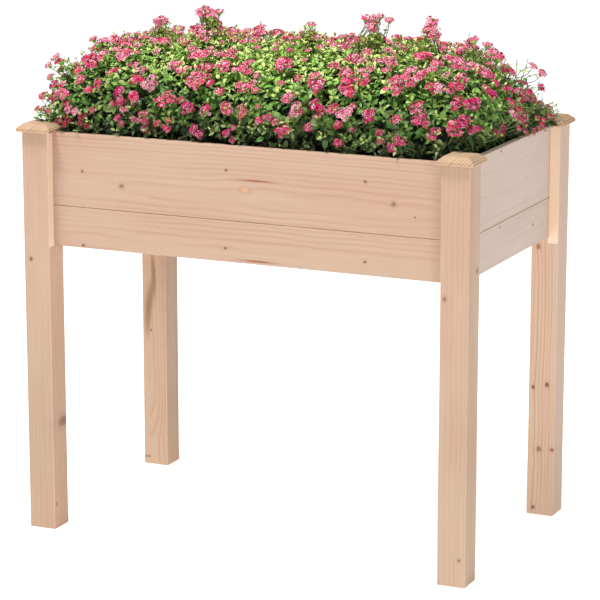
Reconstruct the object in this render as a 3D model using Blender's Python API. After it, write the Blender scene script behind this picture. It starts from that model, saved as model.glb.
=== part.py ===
"""Planted raised bed: a fir box on four legs, filled with soil and flowering bushes.

Metres, +Z up. The origin lies on the floor under the middle of the box. The
front looks along -Y and the long sides run along X.
"""

import math
import random

import bmesh
import bpy
from mathutils import Matrix, Vector
from mathutils.bvhtree import BVHTree

# Driving dimensions of the box, over the outer faces of its legs.
LENGTH = 0.866
DEPTH = 0.510
LEG_SIZE = 0.052
LEG_HEIGHT = 0.745
LEG_ARRIS = 0.0010
GAP = 0.0003

# Wall boards, two high, standing in grooves in the middle of each leg.
BOARD_THICKNESS = 0.012
GROOVE_DEPTH = 0.012
PANEL_BOTTOM = 0.536
BOARD_JOINT = 0.611
BOARD_ARRIS = 0.0012

# Caps on the legs.
CAP_OVERHANG = 0.008
CAP_BAND = 0.006
CAP_CHAMFER_HEIGHT = 0.009
CAP_CHAMFER_WIDTH = 0.011
CAP_ARRIS = 0.0006

# Bottom: ledgers on the long walls and slats across them.
LEDGER_SIZE = 0.020
SLAT_THICKNESS = 0.012
SLAT_COUNT = 8
DRAIN_GAP = 0.008

# Soil, and the stems that stand in it.
SOIL_BELOW_RIM = 0.025
SOIL_LUMP = 0.004
SOIL_WAVES = (0.20, 0.17, 0.100, 0.088)
SOIL_FADE = (0.060, 0.050)
SOIL_GRID = (12, 7)
STEM_RADIUS = 0.0055
STEM_DEPTH = 0.045
STEM_SIDES = 8

# Bushes: one to each cell of the soil. Flower heads are true to size; leaves
# are larger than life, so that a few of them cover the bush.
COLUMNS = 4
ROWS = 2
CELL_GAP = 0.0012
LEAN_OVER = 0.014
CLEARANCE = 0.0005
OUTER_MARGIN = 0.0015
POST_ROOM = 0.0010
CORE_MIDDLE = 0.045
CORE_LIFT = 0.004
CORE_INSET = 0.044
CORE_LUMP = 0.006
ROOT_DEPTH = 0.010
MARCH_STEP = 0.002
SLOPE_STEP = 0.004

# Flower heads: five lobes whose tips and notches lie at these shares of the
# head's radius, out and up.
HEADS_EACH = 34
HEAD_SPACING = 0.029
HEAD_RADIUS = (0.0120, 0.0160)
HEAD_LOBES = 5
HEAD_TOP = 0.80
HEAD_TIP = (1.00, 0.12)
HEAD_NOTCH = (0.76, 0.16)
HEAD_NECK = -0.42
HEAD_LEAN = 0.4
HEAD_UPRIGHT = 0.5
HEAD_BURIED = 0.6
HEAD_SINK = 0.008
STALK_RADIUS = 0.0018

# Leaves: an edge of half-widths and lifts at shares of the leaf's length.
LEAVES_EACH = 40
LEAF_SPACING = 0.027
LEAF_LENGTH = (0.054, 0.070)
LEAF_RATIO = 0.62
LEAF_EDGE = ((0.40, 0.50, 0.05), (0.58, 0.36, 0.04), (0.70, 0.36, 0.00))
LEAF_RIB = 0.0020
LEAF_RIB_PLACE = 0.52
LEAF_DROOP = 0.10
LEAF_OUTWARD = (0.5, 0.8)
LEAF_SIDEWAYS = (0.5, 1.0)

# Random draws: where each sort starts, how often a place or a shape is tried,
# and how much closer the late places may stand.
CORE_SEED = 100
HEAD_SEED = 200
LEAF_SEED = 300
SEEDS_EACH = 1000
TRIES_EACH = 8
SCATTER_TRIES = 4000
CROWDED = 0.8
STEEPEST = 0.2

# Height of the leaves over the rim, how it falls off at the ends and the
# fronts, and the shoots that rise out of it: x, y, extra height.
CROWN_HEIGHT = 0.162
CROWN_FALL = 0.022
CROWN_EDGE_X = 0.130
CROWN_EDGE_Y = 0.170
OVER_ENDS = 0.012
OVER_BOARDS = 0.016
SHOOT_WIDTH = 0.022
SHOOT_FADE = 3.0
SHOOTS = (
    (-0.398, -0.168, 0.030),
    (-0.345, -0.060, 0.012),
    (-0.268, -0.020, 0.036),
    (-0.172, -0.014, 0.052),
    (-0.085, 0.020, 0.020),
    (0.018, 0.014, 0.030),
    (0.100, 0.010, 0.014),
    (0.155, -0.014, 0.052),
    (0.262, -0.022, 0.046),
    (0.335, -0.010, 0.036),
    (0.398, 0.060, 0.022),
    (0.399, 0.120, 0.026),
    (0.415, 0.190, 0.014),
)

# Sizes that follow from these.
INNER_X = LENGTH / 2 - (LEG_SIZE + BOARD_THICKNESS) / 2
INNER_Y = DEPTH / 2 - (LEG_SIZE + BOARD_THICKNESS) / 2
LEG_X = (LENGTH - LEG_SIZE) / 2
LEG_Y = (DEPTH - LEG_SIZE) / 2
CAP_TOP = LEG_HEIGHT + GAP + CAP_BAND + CAP_CHAMFER_HEIGHT
SLAT_BOTTOM = PANEL_BOTTOM + LEDGER_SIZE + GAP
SOIL_BOTTOM = SLAT_BOTTOM + SLAT_THICKNESS + GAP
SOIL_TOP = LEG_HEIGHT - SOIL_BELOW_RIM
OUTER_X = LENGTH / 2 + CAP_OVERHANG - OUTER_MARGIN
OUTER_Y = INNER_Y + OVER_BOARDS
CAP_INNER_X = LEG_X - LEG_SIZE / 2 - CAP_OVERHANG - POST_ROOM

LEG_SIGNS = (("front_left", -1, -1), ("front_right", 1, -1), ("back_left", -1, 1), ("back_right", 1, 1))
LEAF, BLOOM, BARK = 0, 1, 2


def clear_scene():
    """Removes every object of the start-up scene."""
    for thing in list(bpy.data.objects):
        bpy.data.objects.remove(thing, do_unlink=True)


def finish_material(name, colour, roughness):
    """A Principled BSDF of one colour."""
    material = bpy.data.materials.new(name)
    material.use_nodes = True
    shader = material.node_tree.nodes["Principled BSDF"]
    shader.inputs["Base Color"].default_value = (*colour, 1.0)
    shader.inputs["Roughness"].default_value = roughness
    shader.inputs["Metallic"].default_value = 0.0
    return material


def object_from(shape, name, materials):
    """Turns a bmesh into a named object."""
    bmesh.ops.recalc_face_normals(shape, faces=shape.faces[:])
    mesh = bpy.data.meshes.new(name)
    shape.to_mesh(mesh)
    shape.free()
    for material in materials:
        mesh.materials.append(material)
    thing = bpy.data.objects.new(name, mesh)
    bpy.context.scene.collection.objects.link(thing)
    return thing


def box_shape(low, high, arris=0.0):
    """A box between two corners, its edges eased by a one-step bevel."""
    shape = bmesh.new()
    size = [high[i] - low[i] for i in range(3)]
    middle = [(high[i] + low[i]) / 2 for i in range(3)]
    place = Matrix.Translation(middle) @ Matrix.Diagonal((*size, 1.0))
    bmesh.ops.create_cube(shape, size=1.0, matrix=place)
    if arris:
        bmesh.ops.bevel(shape, geom=shape.edges[:], offset=arris, segments=1, profile=0.5, affect="EDGES")
    return shape


def add_cutter(target, shape, name):
    """Cuts a shape out of an object with a Boolean modifier."""
    cutter = object_from(shape, name, [])
    cutter.hide_render = True
    cutter.display_type = "WIRE"
    cut = target.modifiers.new(name, "BOOLEAN")
    cut.operation = "DIFFERENCE"
    cut.object = cutter


def make_leg(name, side_x, side_y, wood):
    """A leg with two grooves, open at the top, that the wall boards slide into."""
    centre = Vector((side_x * LEG_X, side_y * LEG_Y, 0.0))
    half = LEG_SIZE / 2
    low = (centre.x - half, centre.y - half, 0.0)
    high = (centre.x + half, centre.y + half, LEG_HEIGHT)
    leg = object_from(box_shape(low, high, LEG_ARRIS), f"leg_{name}", [wood])
    slot = BOARD_THICKNESS / 2 + GAP
    reach = half - GROOVE_DEPTH - GAP
    bottom = PANEL_BOTTOM - GAP
    over = LEG_HEIGHT + LEG_SIZE
    inner_x = sorted((centre.x - side_x * reach, centre.x - side_x * LEG_SIZE))
    inner_y = sorted((centre.y - side_y * reach, centre.y - side_y * LEG_SIZE))
    long_groove = box_shape((inner_x[0], centre.y - slot, bottom), (inner_x[1], centre.y + slot, over))
    side_groove = box_shape((centre.x - slot, inner_y[0], bottom), (centre.x + slot, inner_y[1], over))
    add_cutter(leg, long_groove, f"groove_long_{name}")
    add_cutter(leg, side_groove, f"groove_side_{name}")


def make_cap(name, side_x, side_y, wood):
    """A square cap with a flat band round its edge and a chamfer up to a flat top."""
    wide = LEG_SIZE / 2 + CAP_OVERHANG
    narrow = wide - CAP_CHAMFER_WIDTH
    base = LEG_HEIGHT + GAP
    rings = ((wide, base), (wide, base + CAP_BAND), (narrow, CAP_TOP))
    shape = bmesh.new()
    corners = ((-1, -1), (1, -1), (1, 1), (-1, 1))
    loops = []
    for half, height in rings:
        loops.append([shape.verts.new((half * x, half * y, height)) for x, y in corners])
    shape.faces.new(loops[0][::-1])
    shape.faces.new(loops[-1])
    for lower, upper in zip(loops, loops[1:]):
        for i in range(4):
            j = (i + 1) % 4
            shape.faces.new((lower[i], lower[j], upper[j], upper[i]))
    bmesh.ops.bevel(shape, geom=shape.edges[:], offset=CAP_ARRIS, segments=1, profile=0.5, affect="EDGES")
    cap = object_from(shape, f"cap_{name}", [wood])
    cap.location = (side_x * LEG_X, side_y * LEG_Y, 0.0)


def make_boards(wood):
    """The four walls, each an upper and a lower board whose ends stand in the grooves."""
    reach_x = LEG_X - LEG_SIZE / 2 + GROOVE_DEPTH
    reach_y = LEG_Y - LEG_SIZE / 2 + GROOVE_DEPTH
    half = BOARD_THICKNESS / 2
    levels = (("lower", PANEL_BOTTOM, BOARD_JOINT - GAP), ("upper", BOARD_JOINT, LEG_HEIGHT))
    for level, bottom, top in levels:
        for name, side in (("front", -1), ("back", 1)):
            low = (-reach_x, side * LEG_Y - half, bottom)
            high = (reach_x, side * LEG_Y + half, top)
            object_from(box_shape(low, high, BOARD_ARRIS), f"board_{name}_{level}", [wood])
        for name, side in (("left", -1), ("right", 1)):
            low = (side * LEG_X - half, -reach_y, bottom)
            high = (side * LEG_X + half, reach_y, top)
            object_from(box_shape(low, high, BOARD_ARRIS), f"board_{name}_{level}", [wood])


def make_ledgers(wood):
    """Square strips along the foot of the long walls, between the legs."""
    reach = LEG_X - LEG_SIZE / 2 - GAP
    for name, side in (("front", -1), ("back", 1)):
        near, far = sorted((side * (INNER_Y - GAP), side * (INNER_Y - GAP - LEDGER_SIZE)))
        low = (-reach, near, PANEL_BOTTOM)
        high = (reach, far, PANEL_BOTTOM + LEDGER_SIZE)
        object_from(box_shape(low, high, BOARD_ARRIS), f"ledger_{name}", [wood])


def corner_shapes(below, above):
    """Four blocks that stand for the legs' inner corners, for notching what lies round them."""
    blocks = bmesh.new()
    leg_in_x = LEG_X - LEG_SIZE / 2 - GAP
    leg_in_y = LEG_Y - LEG_SIZE / 2 - GAP
    for _, side_x, side_y in LEG_SIGNS:
        near_x, far_x = sorted((side_x * leg_in_x, side_x * LEG_X))
        near_y, far_y = sorted((side_y * leg_in_y, side_y * LEG_Y))
        size = (far_x - near_x, far_y - near_y, above - below)
        middle = ((far_x + near_x) / 2, (far_y + near_y) / 2, (above + below) / 2)
        place = Matrix.Translation(middle) @ Matrix.Diagonal((*size, 1.0))
        bmesh.ops.create_cube(blocks, size=1.0, matrix=place)
    return blocks


def make_slats(wood):
    """Bottom slats across the ledgers, with drainage gaps; the end ones are notched."""
    inside = 2 * (INNER_X - GAP)
    width = (inside - (SLAT_COUNT - 1) * DRAIN_GAP) / SLAT_COUNT
    reach = INNER_Y - GAP
    top = SLAT_BOTTOM + SLAT_THICKNESS
    for i in range(SLAT_COUNT):
        start = -inside / 2 + i * (width + DRAIN_GAP)
        shape = box_shape((start, -reach, SLAT_BOTTOM), (start + width, reach, top))
        slat = object_from(shape, f"slat_{i + 1}", [wood])
        if i in (0, SLAT_COUNT - 1):
            add_cutter(slat, corner_shapes(SLAT_BOTTOM - LEG_SIZE, top + LEG_SIZE), f"notch_slat_{i + 1}")


def cells():
    """Each bush's number, cell (low x, high x, low y, high y) and stem place."""
    width = 2 * INNER_X / COLUMNS
    depth = 2 * INNER_Y / ROWS
    places = []
    for row in range(ROWS):
        for column in range(COLUMNS):
            low_x = -INNER_X + column * width
            low_y = -INNER_Y + row * depth
            stem = (low_x + width / 2, low_y + depth / 2)
            places.append((row * COLUMNS + column + 1, (low_x, low_x + width, low_y, low_y + depth), stem))
    return places


def stem_shape(stem, radius, bottom, top, top_radius):
    """A many-sided stem, or the hole that it stands in."""
    shape = bmesh.new()
    place = Matrix.Translation((stem[0], stem[1], (bottom + top) / 2))
    bmesh.ops.create_cone(
        shape, cap_ends=True, segments=STEM_SIDES, radius1=radius, radius2=top_radius,
        depth=top - bottom, matrix=place,
    )
    return shape


def soil_height(x, y):
    """Lumps of the soil's top, level with it at the walls."""
    fade = min(1.0, (INNER_X - abs(x)) / SOIL_FADE[0]) * min(1.0, (INNER_Y - abs(y)) / SOIL_FADE[1])
    turns_x, turns_y, slant_x, slant_y = [math.tau / wave for wave in SOIL_WAVES]
    lumps = math.sin(turns_x * x + 1) * math.cos(turns_y * y) + math.sin(slant_x * x - slant_y * y) / 2
    return SOIL_TOP + SOIL_LUMP * lumps / 1.5 * max(0.0, fade)


def make_soil(earth):
    """Soil that fills the box, notched round the legs, with a hole for each stem."""
    shape = bmesh.new()
    reach_x = INNER_X - GAP
    reach_y = INNER_Y - GAP
    bmesh.ops.create_grid(shape, x_segments=SOIL_GRID[0], y_segments=SOIL_GRID[1], size=1.0)
    for vert in shape.verts:
        x, y = vert.co.x * reach_x, vert.co.y * reach_y
        vert.co = (x, y, soil_height(x, y))
    rim = [edge for edge in shape.edges if edge.is_boundary]
    skirt = bmesh.ops.extrude_edge_only(shape, edges=rim)["geom"]
    for vert in [part for part in skirt if isinstance(part, bmesh.types.BMVert)]:
        vert.co.z = SOIL_BOTTOM
    bmesh.ops.contextual_create(shape, geom=[edge for edge in shape.edges if edge.is_boundary])
    soil = object_from(shape, "soil", [earth])
    add_cutter(soil, corner_shapes(SOIL_BOTTOM - LEG_SIZE, LEG_HEIGHT + LEG_SIZE), "notch_soil")
    holes = bmesh.new()
    wide = STEM_RADIUS + GAP / math.cos(math.pi / STEM_SIDES)
    for _, _, stem in cells():
        place = Matrix.Translation((stem[0], stem[1], SOIL_TOP))
        bmesh.ops.create_cone(
            holes, cap_ends=True, segments=STEM_SIDES, radius1=wide, radius2=wide,
            depth=2 * (STEM_DEPTH + GAP), matrix=place,
        )
    add_cutter(soil, holes, "stem_holes")


def crown(x, y):
    """Height of the foliage over the floor at a place: a broad mound with risen shoots."""
    ends = min(1.0, max(0.0, (OUTER_X + OVER_ENDS - abs(x)) / CROWN_EDGE_X))
    fronts = min(1.0, max(0.0, (OUTER_Y - abs(y)) / CROWN_EDGE_Y))
    round_off = math.sqrt(1 - (1 - ends) ** 2) * math.sqrt(1 - (1 - fronts) ** 2)
    height = (CROWN_HEIGHT - CROWN_FALL * (x / OUTER_X) ** 4) * round_off
    for shoot_x, shoot_y, rise in SHOOTS:
        away = ((x - shoot_x) ** 2 + (y - shoot_y) ** 2) / SHOOT_WIDTH ** 2
        height += rise * math.exp(-away) * min(1.0, SHOOT_FADE * round_off)
    return LEG_HEIGHT + height


def crown_normal(x, y):
    """Outward direction of the foliage's surface."""
    slope_x = (crown(x + SLOPE_STEP, y) - crown(x - SLOPE_STEP, y)) / (2 * SLOPE_STEP)
    slope_y = (crown(x, y + SLOPE_STEP) - crown(x, y - SLOPE_STEP)) / (2 * SLOPE_STEP)
    return Vector((-slope_x, -slope_y, 1.0)).normalized()


class Cell:
    """The space that one bush fills, and the middle that its stalks grow from."""

    def __init__(self, number, bounds, stem):
        half = CELL_GAP / 2
        self.number = number
        self.stem = stem
        self.inner = (bounds[0] + half, bounds[1] - half, bounds[2] + half, bounds[3] - half)
        self.outer = []
        for i, limit in enumerate((-INNER_X, INNER_X, -INNER_Y, INNER_Y)):
            lean = math.copysign(LEAN_OVER, -1 if i % 2 == 0 else 1)
            edge = math.copysign(OUTER_X if i < 2 else OUTER_Y, limit)
            self.outer.append(edge if abs(bounds[i] - limit) < half else bounds[i] + lean)
        self.middle = Vector((stem[0], stem[1], LEG_HEIGHT + CORE_MIDDLE))
        self.core = None

    def walls_hold(self, point):
        """Whether a point lies between the cell's walls and over the soil."""
        x, y, z = point
        low_x, high_x, low_y, high_y = self.inner
        floor = SOIL_TOP + SOIL_LUMP + CORE_LIFT
        return low_x < x < high_x and low_y < y < high_y and z > floor

    def core_reach(self, direction):
        """How far the bush's core reaches from its middle in a direction."""
        distance = MARCH_STEP
        while True:
            point = self.middle + direction * distance
            if not self.walls_hold(point):
                return distance - 2 * MARCH_STEP
            if point.z > crown(point.x, point.y):
                return max(6 * MARCH_STEP, distance - CORE_INSET)
            distance += MARCH_STEP

    def root_of(self, point):
        """The point in the core that something at a given place grows from."""
        outward = (point - self.middle).normalized()
        surface = self.core.ray_cast(self.middle, outward)[3]
        return self.middle + outward * min(surface - ROOT_DEPTH, (point - self.middle).length)

    def bend_in(self, points, limits):
        """The sideways shift that brings points within limits, with the cell's walls upright."""
        shift = Vector((0.0, 0.0, 0.0))
        for axis in (0, 1):
            least = min(p[axis] for p in points)
            most = max(p[axis] for p in points)
            low, high = limits[2 * axis], limits[2 * axis + 1]
            if least < low:
                shift[axis] = low - least
            elif most > high:
                shift[axis] = high - most
        return shift


def core_shape(cell, draw):
    """A small lumpy heart for the bush, which its leaves and flower heads stand out of."""
    shape = bmesh.new()
    bmesh.ops.create_icosphere(shape, subdivisions=2, radius=1.0)
    for vert in shape.verts:
        direction = vert.co.normalized()
        reach = cell.core_reach(direction)
        vert.co = cell.middle + direction * (reach - draw.uniform(0.0, CORE_LUMP))
    bmesh.ops.recalc_face_normals(shape, faces=shape.faces[:])
    cell.core = BVHTree.FromBMesh(shape)
    return shape


def across_axes(axis, spin):
    """Two directions square to an axis, turned by an angle."""
    helper = Vector((1.0, 0.0, 0.0)) if abs(axis.x) < 0.8 else Vector((0.0, 1.0, 0.0))
    first = axis.cross(helper).normalized()
    second = axis.cross(first).normalized()
    turn = Matrix.Rotation(spin, 3, axis)
    return turn @ first, turn @ second


def head_shape(cell, spot, normal, draw):
    """A domed flower head of five lobes on a three-sided stalk that reaches into the core."""
    radius = draw.uniform(*HEAD_RADIUS)
    lean = Vector((draw.uniform(-HEAD_LEAN, HEAD_LEAN), draw.uniform(-HEAD_LEAN, HEAD_LEAN), HEAD_UPRIGHT))
    axis = (normal + lean).normalized()
    centre = spot - normal * (radius * HEAD_BURIED + draw.uniform(0.0, HEAD_SINK))
    first, second = across_axes(axis, draw.uniform(0, math.tau))
    shape = bmesh.new()

    def ring_point(angle, out, up):
        spot = first * math.cos(angle) + second * math.sin(angle)
        return shape.verts.new(centre + spot * radius * out + axis * radius * up)

    turn = math.tau / HEAD_LOBES
    top = shape.verts.new(centre + axis * radius * HEAD_TOP)
    rim = []
    for i in range(HEAD_LOBES):
        rim.append(ring_point(turn * i, *HEAD_TIP))
        rim.append(ring_point(turn * (i + 0.5), *HEAD_NOTCH))
    neck = [ring_point(math.tau * i / 3, STALK_RADIUS / radius, HEAD_NECK) for i in range(3)]
    slide = cell.root_of(centre) - centre
    foot = [shape.verts.new(vert.co + slide) for vert in neck]
    count = 2 * HEAD_LOBES
    for i in range(count):
        shape.faces.new((top, rim[i], rim[(i + 1) % count])).material_index = BLOOM
    near = [round(i * 3 / count) % 3 for i in range(count)]
    for i in range(count):
        j = (i + 1) % count
        shape.faces.new((rim[i], neck[near[i]], rim[j]))
        if near[i] != near[j]:
            shape.faces.new((rim[j], neck[near[i]], neck[near[j]]))
    for i in range(3):
        j = (i + 1) % 3
        shape.faces.new((neck[i], foot[i], foot[j], neck[j]))
    shape.faces.new(foot)
    return shape


def leaf_shape(cell, tip, normal, draw):
    """An ovate leaf with a toothed edge, thickest along its rib, whose foot lies in the core."""
    length = draw.uniform(*LEAF_LENGTH)
    width = length * LEAF_RATIO
    sideways, _ = across_axes(normal, draw.uniform(0, math.tau))
    heading = (normal * draw.uniform(*LEAF_OUTWARD) + sideways * draw.uniform(*LEAF_SIDEWAYS)).normalized()
    side = heading.cross(normal).normalized()
    up = side.cross(heading).normalized()
    base = tip - heading * length
    shape = bmesh.new()
    end = shape.verts.new(tip - up * length * LEAF_DROOP)
    root = shape.verts.new(cell.root_of(base))
    sides = []
    for sign in (1, -1):
        spots = [base + heading * length * along + up * length * lift + side * sign * width * half
                 for along, half, lift in LEAF_EDGE]
        sides.append([root, *[shape.verts.new(spot) for spot in spots], end])
    for sign in (1, -1):
        rib = shape.verts.new(base + heading * length * LEAF_RIB_PLACE + up * (sign * LEAF_RIB / 2))
        for rank in sides:
            for near, far in zip(rank, rank[1:]):
                shape.faces.new((near, far, rib))
    for face in shape.faces:
        face.material_index = LEAF
    return shape


class Bed:
    """What already grows in the bed, so that nothing new crosses it."""

    def __init__(self):
        self.cores = []
        self.parts = []

    def is_clear(self, number, shape):
        """Whether a shape, a little swollen, crosses no part, and no core but its own."""
        bmesh.ops.recalc_face_normals(shape, faces=shape.faces[:])
        swollen = shape.copy()
        for vert in swollen.verts:
            vert.co += vert.normal * CLEARANCE
        tree = BVHTree.FromBMesh(swollen)
        swollen.free()
        if any(tree.overlap(part) for part in self.parts):
            return False
        return not any(owner != number and tree.overlap(core) for owner, core in self.cores)

    def settle(self, cell, shape):
        """Leans a part out over its cell's walls if it is clear there, or else bends it in."""
        low = min(vert.co.z for vert in shape.verts)
        by_caps = max(abs(vert.co.x) for vert in shape.verts) > CAP_INNER_X
        leans = low > (CAP_TOP if by_caps else LEG_HEIGHT) + POST_ROOM
        for limits in (cell.outer if leans else cell.inner, cell.inner):
            shift = cell.bend_in([vert.co for vert in shape.verts], limits)
            bmesh.ops.translate(shape, verts=shape.verts[:], vec=shift)
            if self.is_clear(cell.number, shape):
                self.parts.append(BVHTree.FromBMesh(shape))
                return True
        shape.free()
        return False


def shoot_tops(cell):
    """The tops of the risen shoots that stand in a cell."""
    low_x, high_x, low_y, high_y = cell.inner
    tops = []
    for x, y, _ in SHOOTS:
        if low_x < x < high_x and low_y < y < high_y:
            tops.append((Vector((x, y, crown(x, y))), Vector((0.0, 0.0, 1.0))))
    return tops


def scatter(cell, seed, count, spacing, places):
    """Adds places on the crown, evenly spread over its area, with their outward directions."""
    draw = random.Random(seed + cell.number)
    low_x, high_x, low_y, high_y = cell.outer
    inset = HEAD_RADIUS[0]
    tries = 0
    while len(places) < count and tries < SCATTER_TRIES:
        tries += 1
        x = draw.uniform(low_x + inset, high_x - inset)
        y = draw.uniform(low_y + inset / 2, high_y - inset / 2)
        normal = crown_normal(x, y)
        if draw.random() > STEEPEST / max(STEEPEST, normal.z):
            continue
        spot = Vector((x, y, crown(x, y)))
        if spot.z < LEG_HEIGHT + inset:
            continue
        tight = spacing * (1.0 if tries < SCATTER_TRIES / 2 else CROWDED)
        if all((spot - other).length > tight for other, _ in places):
            places.append((spot, normal))
    return places


def keep_one_body(mesh):
    """Drops the scraps and sealed hollows that a union leaves; says if what stays is closed."""
    shape = bmesh.new()
    shape.from_mesh(mesh)
    bmesh.ops.triangulate(shape, faces=shape.faces[:])
    seen = set()
    bodies = []
    for start in shape.verts:
        if start in seen:
            continue
        body, queue = [], [start]
        seen.add(start)
        while queue:
            vert = queue.pop()
            body.append(vert)
            for edge in vert.link_edges:
                other = edge.other_vert(vert)
                if other not in seen:
                    seen.add(other)
                    queue.append(other)
        bodies.append(body)
    bodies.sort(key=len)
    for body in bodies[:-1]:
        bmesh.ops.delete(shape, geom=body, context="VERTS")
    closed = all(edge.is_manifold for edge in shape.edges) and all(vert.is_manifold for vert in shape.verts)
    shape.to_mesh(mesh)
    shape.free()
    return closed


def unite(base, repeats, posts):
    """One Boolean union of a bush's core with all that grows from it, cut clear of the posts."""
    group = bpy.data.collections.new(f"{base.name}_repeats")
    bpy.context.scene.collection.children.link(group)
    for thing in repeats:
        bpy.context.scene.collection.objects.unlink(thing)
        group.objects.link(thing)
    union = base.modifiers.new("union", "BOOLEAN")
    union.operation = "UNION"
    union.operand_type = "COLLECTION"
    union.collection = group
    clear = base.modifiers.new("clear_of_posts", "BOOLEAN")
    clear.operation = "DIFFERENCE"
    clear.object = posts
    for solver in ("EXACT", "MANIFOLD"):
        union.solver = solver
        clear.solver = solver
        bpy.context.view_layer.update()
        joined = bpy.data.meshes.new_from_object(base.evaluated_get(bpy.context.evaluated_depsgraph_get()))
        if keep_one_body(joined):
            break
    base.modifiers.clear()
    base.data = joined
    for thing in list(group.objects):
        bpy.data.objects.remove(thing, do_unlink=True)
    bpy.data.collections.remove(group)


def post_shapes():
    """Four blocks that stand for the posts under their caps, with room round them."""
    blocks = bmesh.new()
    wide = LEG_SIZE + 2 * (CAP_OVERHANG + POST_ROOM)
    for _, side_x, side_y in LEG_SIGNS:
        high = CAP_TOP + POST_ROOM
        place = Matrix.Translation((side_x * LEG_X, side_y * LEG_Y, high / 2))
        size = Matrix.Diagonal((wide, wide, high, 1.0))
        bmesh.ops.create_cube(blocks, size=1.0, matrix=place @ size)
    return blocks


def grow_bush(bed, cell, core, finishes, posts):
    """One flowering bush: stem, core, leaves and flower heads, joined in one body."""
    repeats = []

    def add(shape):
        repeats.append(object_from(shape, f"repeat_{cell.number}_{len(repeats)}", finishes))

    bush = object_from(core, f"bush_{cell.number}", finishes)
    trunk_top = LEG_HEIGHT + CORE_MIDDLE / 2
    trunk = stem_shape(cell.stem, STEM_RADIUS, SOIL_TOP - STEM_DEPTH, trunk_top, STEM_RADIUS)
    for face in trunk.faces:
        face.material_index = BARK
    add(trunk)
    shapes = (
        (head_shape, HEAD_SEED, scatter(cell, HEAD_SEED, HEADS_EACH, HEAD_SPACING, shoot_tops(cell))),
        (leaf_shape, LEAF_SEED, scatter(cell, LEAF_SEED, LEAVES_EACH, LEAF_SPACING, [])),
    )
    for make, seed, places in shapes:
        for rank, (spot, normal) in enumerate(places):
            draw = random.Random(seed + SEEDS_EACH * cell.number + rank)
            for _ in range(TRIES_EACH):
                shape = make(cell, spot, normal, draw)
                if bed.settle(cell, shape):
                    add(shape)
                    break
    unite(bush, repeats, posts)


def plant_bed(finishes):
    """All the bushes, their cores first, so that each grows clear of the others."""
    bed = Bed()
    posts = object_from(post_shapes(), "room_for_posts", [])
    plants = []
    for number, bounds, stem in cells():
        cell = Cell(number, bounds, stem)
        core = core_shape(cell, random.Random(CORE_SEED + number))
        bed.cores.append((number, cell.core))
        plants.append((cell, core))
    for cell, core in plants:
        grow_bush(bed, cell, core, finishes, posts)
    bpy.data.objects.remove(posts, do_unlink=True)


def main():
    """Builds the whole bed."""
    clear_scene()
    wood = {
        "leg": finish_material("fir_leg", (0.74, 0.53, 0.38), 0.62),
        "cap": finish_material("fir_cap", (0.70, 0.48, 0.33), 0.62),
        "board": finish_material("fir_board", (0.75, 0.52, 0.37), 0.62),
        "bottom": finish_material("fir_bottom", (0.66, 0.48, 0.34), 0.70),
    }
    earth = finish_material("potting_soil", (0.045, 0.028, 0.018), 0.95)
    finishes = [
        finish_material("leaf_green", (0.12, 0.27, 0.06), 0.55),
        finish_material("bloom_pink", (0.74, 0.05, 0.18), 0.55),
        finish_material("stem_bark", (0.16, 0.11, 0.06), 0.80),
    ]
    for name, side_x, side_y in LEG_SIGNS:
        make_leg(name, side_x, side_y, wood["leg"])
        make_cap(name, side_x, side_y, wood["cap"])
    make_boards(wood["board"])
    make_ledgers(wood["bottom"])
    make_slats(wood["bottom"])
    make_soil(earth)
    plant_bed(finishes)


main()
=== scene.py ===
"""Looks of a planted raised bed.

A fir box on four capped legs, filled with potting soil and planted with bushes of
small green leaves and domed pink flower heads. Metres, +Z up, in the frame of the
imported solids: the long sides run along X and the front looks along -Y.
"""

import logging
import math
import random
from dataclasses import dataclass, field
from enum import Enum
from typing import TypeVar

import bmesh
import bpy
import numpy as np
from mathutils import Matrix, Vector


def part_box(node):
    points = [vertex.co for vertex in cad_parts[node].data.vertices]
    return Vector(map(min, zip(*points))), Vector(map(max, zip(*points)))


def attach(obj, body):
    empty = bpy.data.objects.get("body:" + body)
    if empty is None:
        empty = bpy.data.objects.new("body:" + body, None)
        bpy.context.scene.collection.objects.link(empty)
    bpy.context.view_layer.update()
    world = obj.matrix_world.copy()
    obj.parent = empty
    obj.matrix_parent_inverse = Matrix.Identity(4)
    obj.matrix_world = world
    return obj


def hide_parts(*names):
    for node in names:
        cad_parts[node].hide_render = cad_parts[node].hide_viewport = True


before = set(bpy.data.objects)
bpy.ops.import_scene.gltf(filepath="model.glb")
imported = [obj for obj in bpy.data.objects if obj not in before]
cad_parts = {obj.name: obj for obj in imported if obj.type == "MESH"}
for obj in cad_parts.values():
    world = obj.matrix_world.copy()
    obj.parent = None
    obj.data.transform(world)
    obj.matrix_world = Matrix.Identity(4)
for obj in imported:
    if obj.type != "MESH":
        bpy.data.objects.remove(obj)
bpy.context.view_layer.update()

LOG = logging.getLogger("raised_bed")

Pair = tuple[float, float]
Triple = tuple[float, float, float]
Shade = tuple[float, float, float, float]
Value = bpy.types.NodeSocket | float | tuple


def tone(red: int, green: int, blue: int) -> Shade:
    """A colour as seen, from 0 to 255 a channel, turned into Blender's linear values.

    Args:
        red: Red as seen.
        green: Green as seen.
        blue: Blue as seen.

    Returns:
        The linear colour with full alpha.
    """
    linear = []
    for channel in (red, green, blue):
        share = channel / 255
        linear.append(share / 12.92 if share <= 0.04045 else ((share + 0.055) / 1.055) ** 2.4)
    return (*linear, 1.0)


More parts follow.
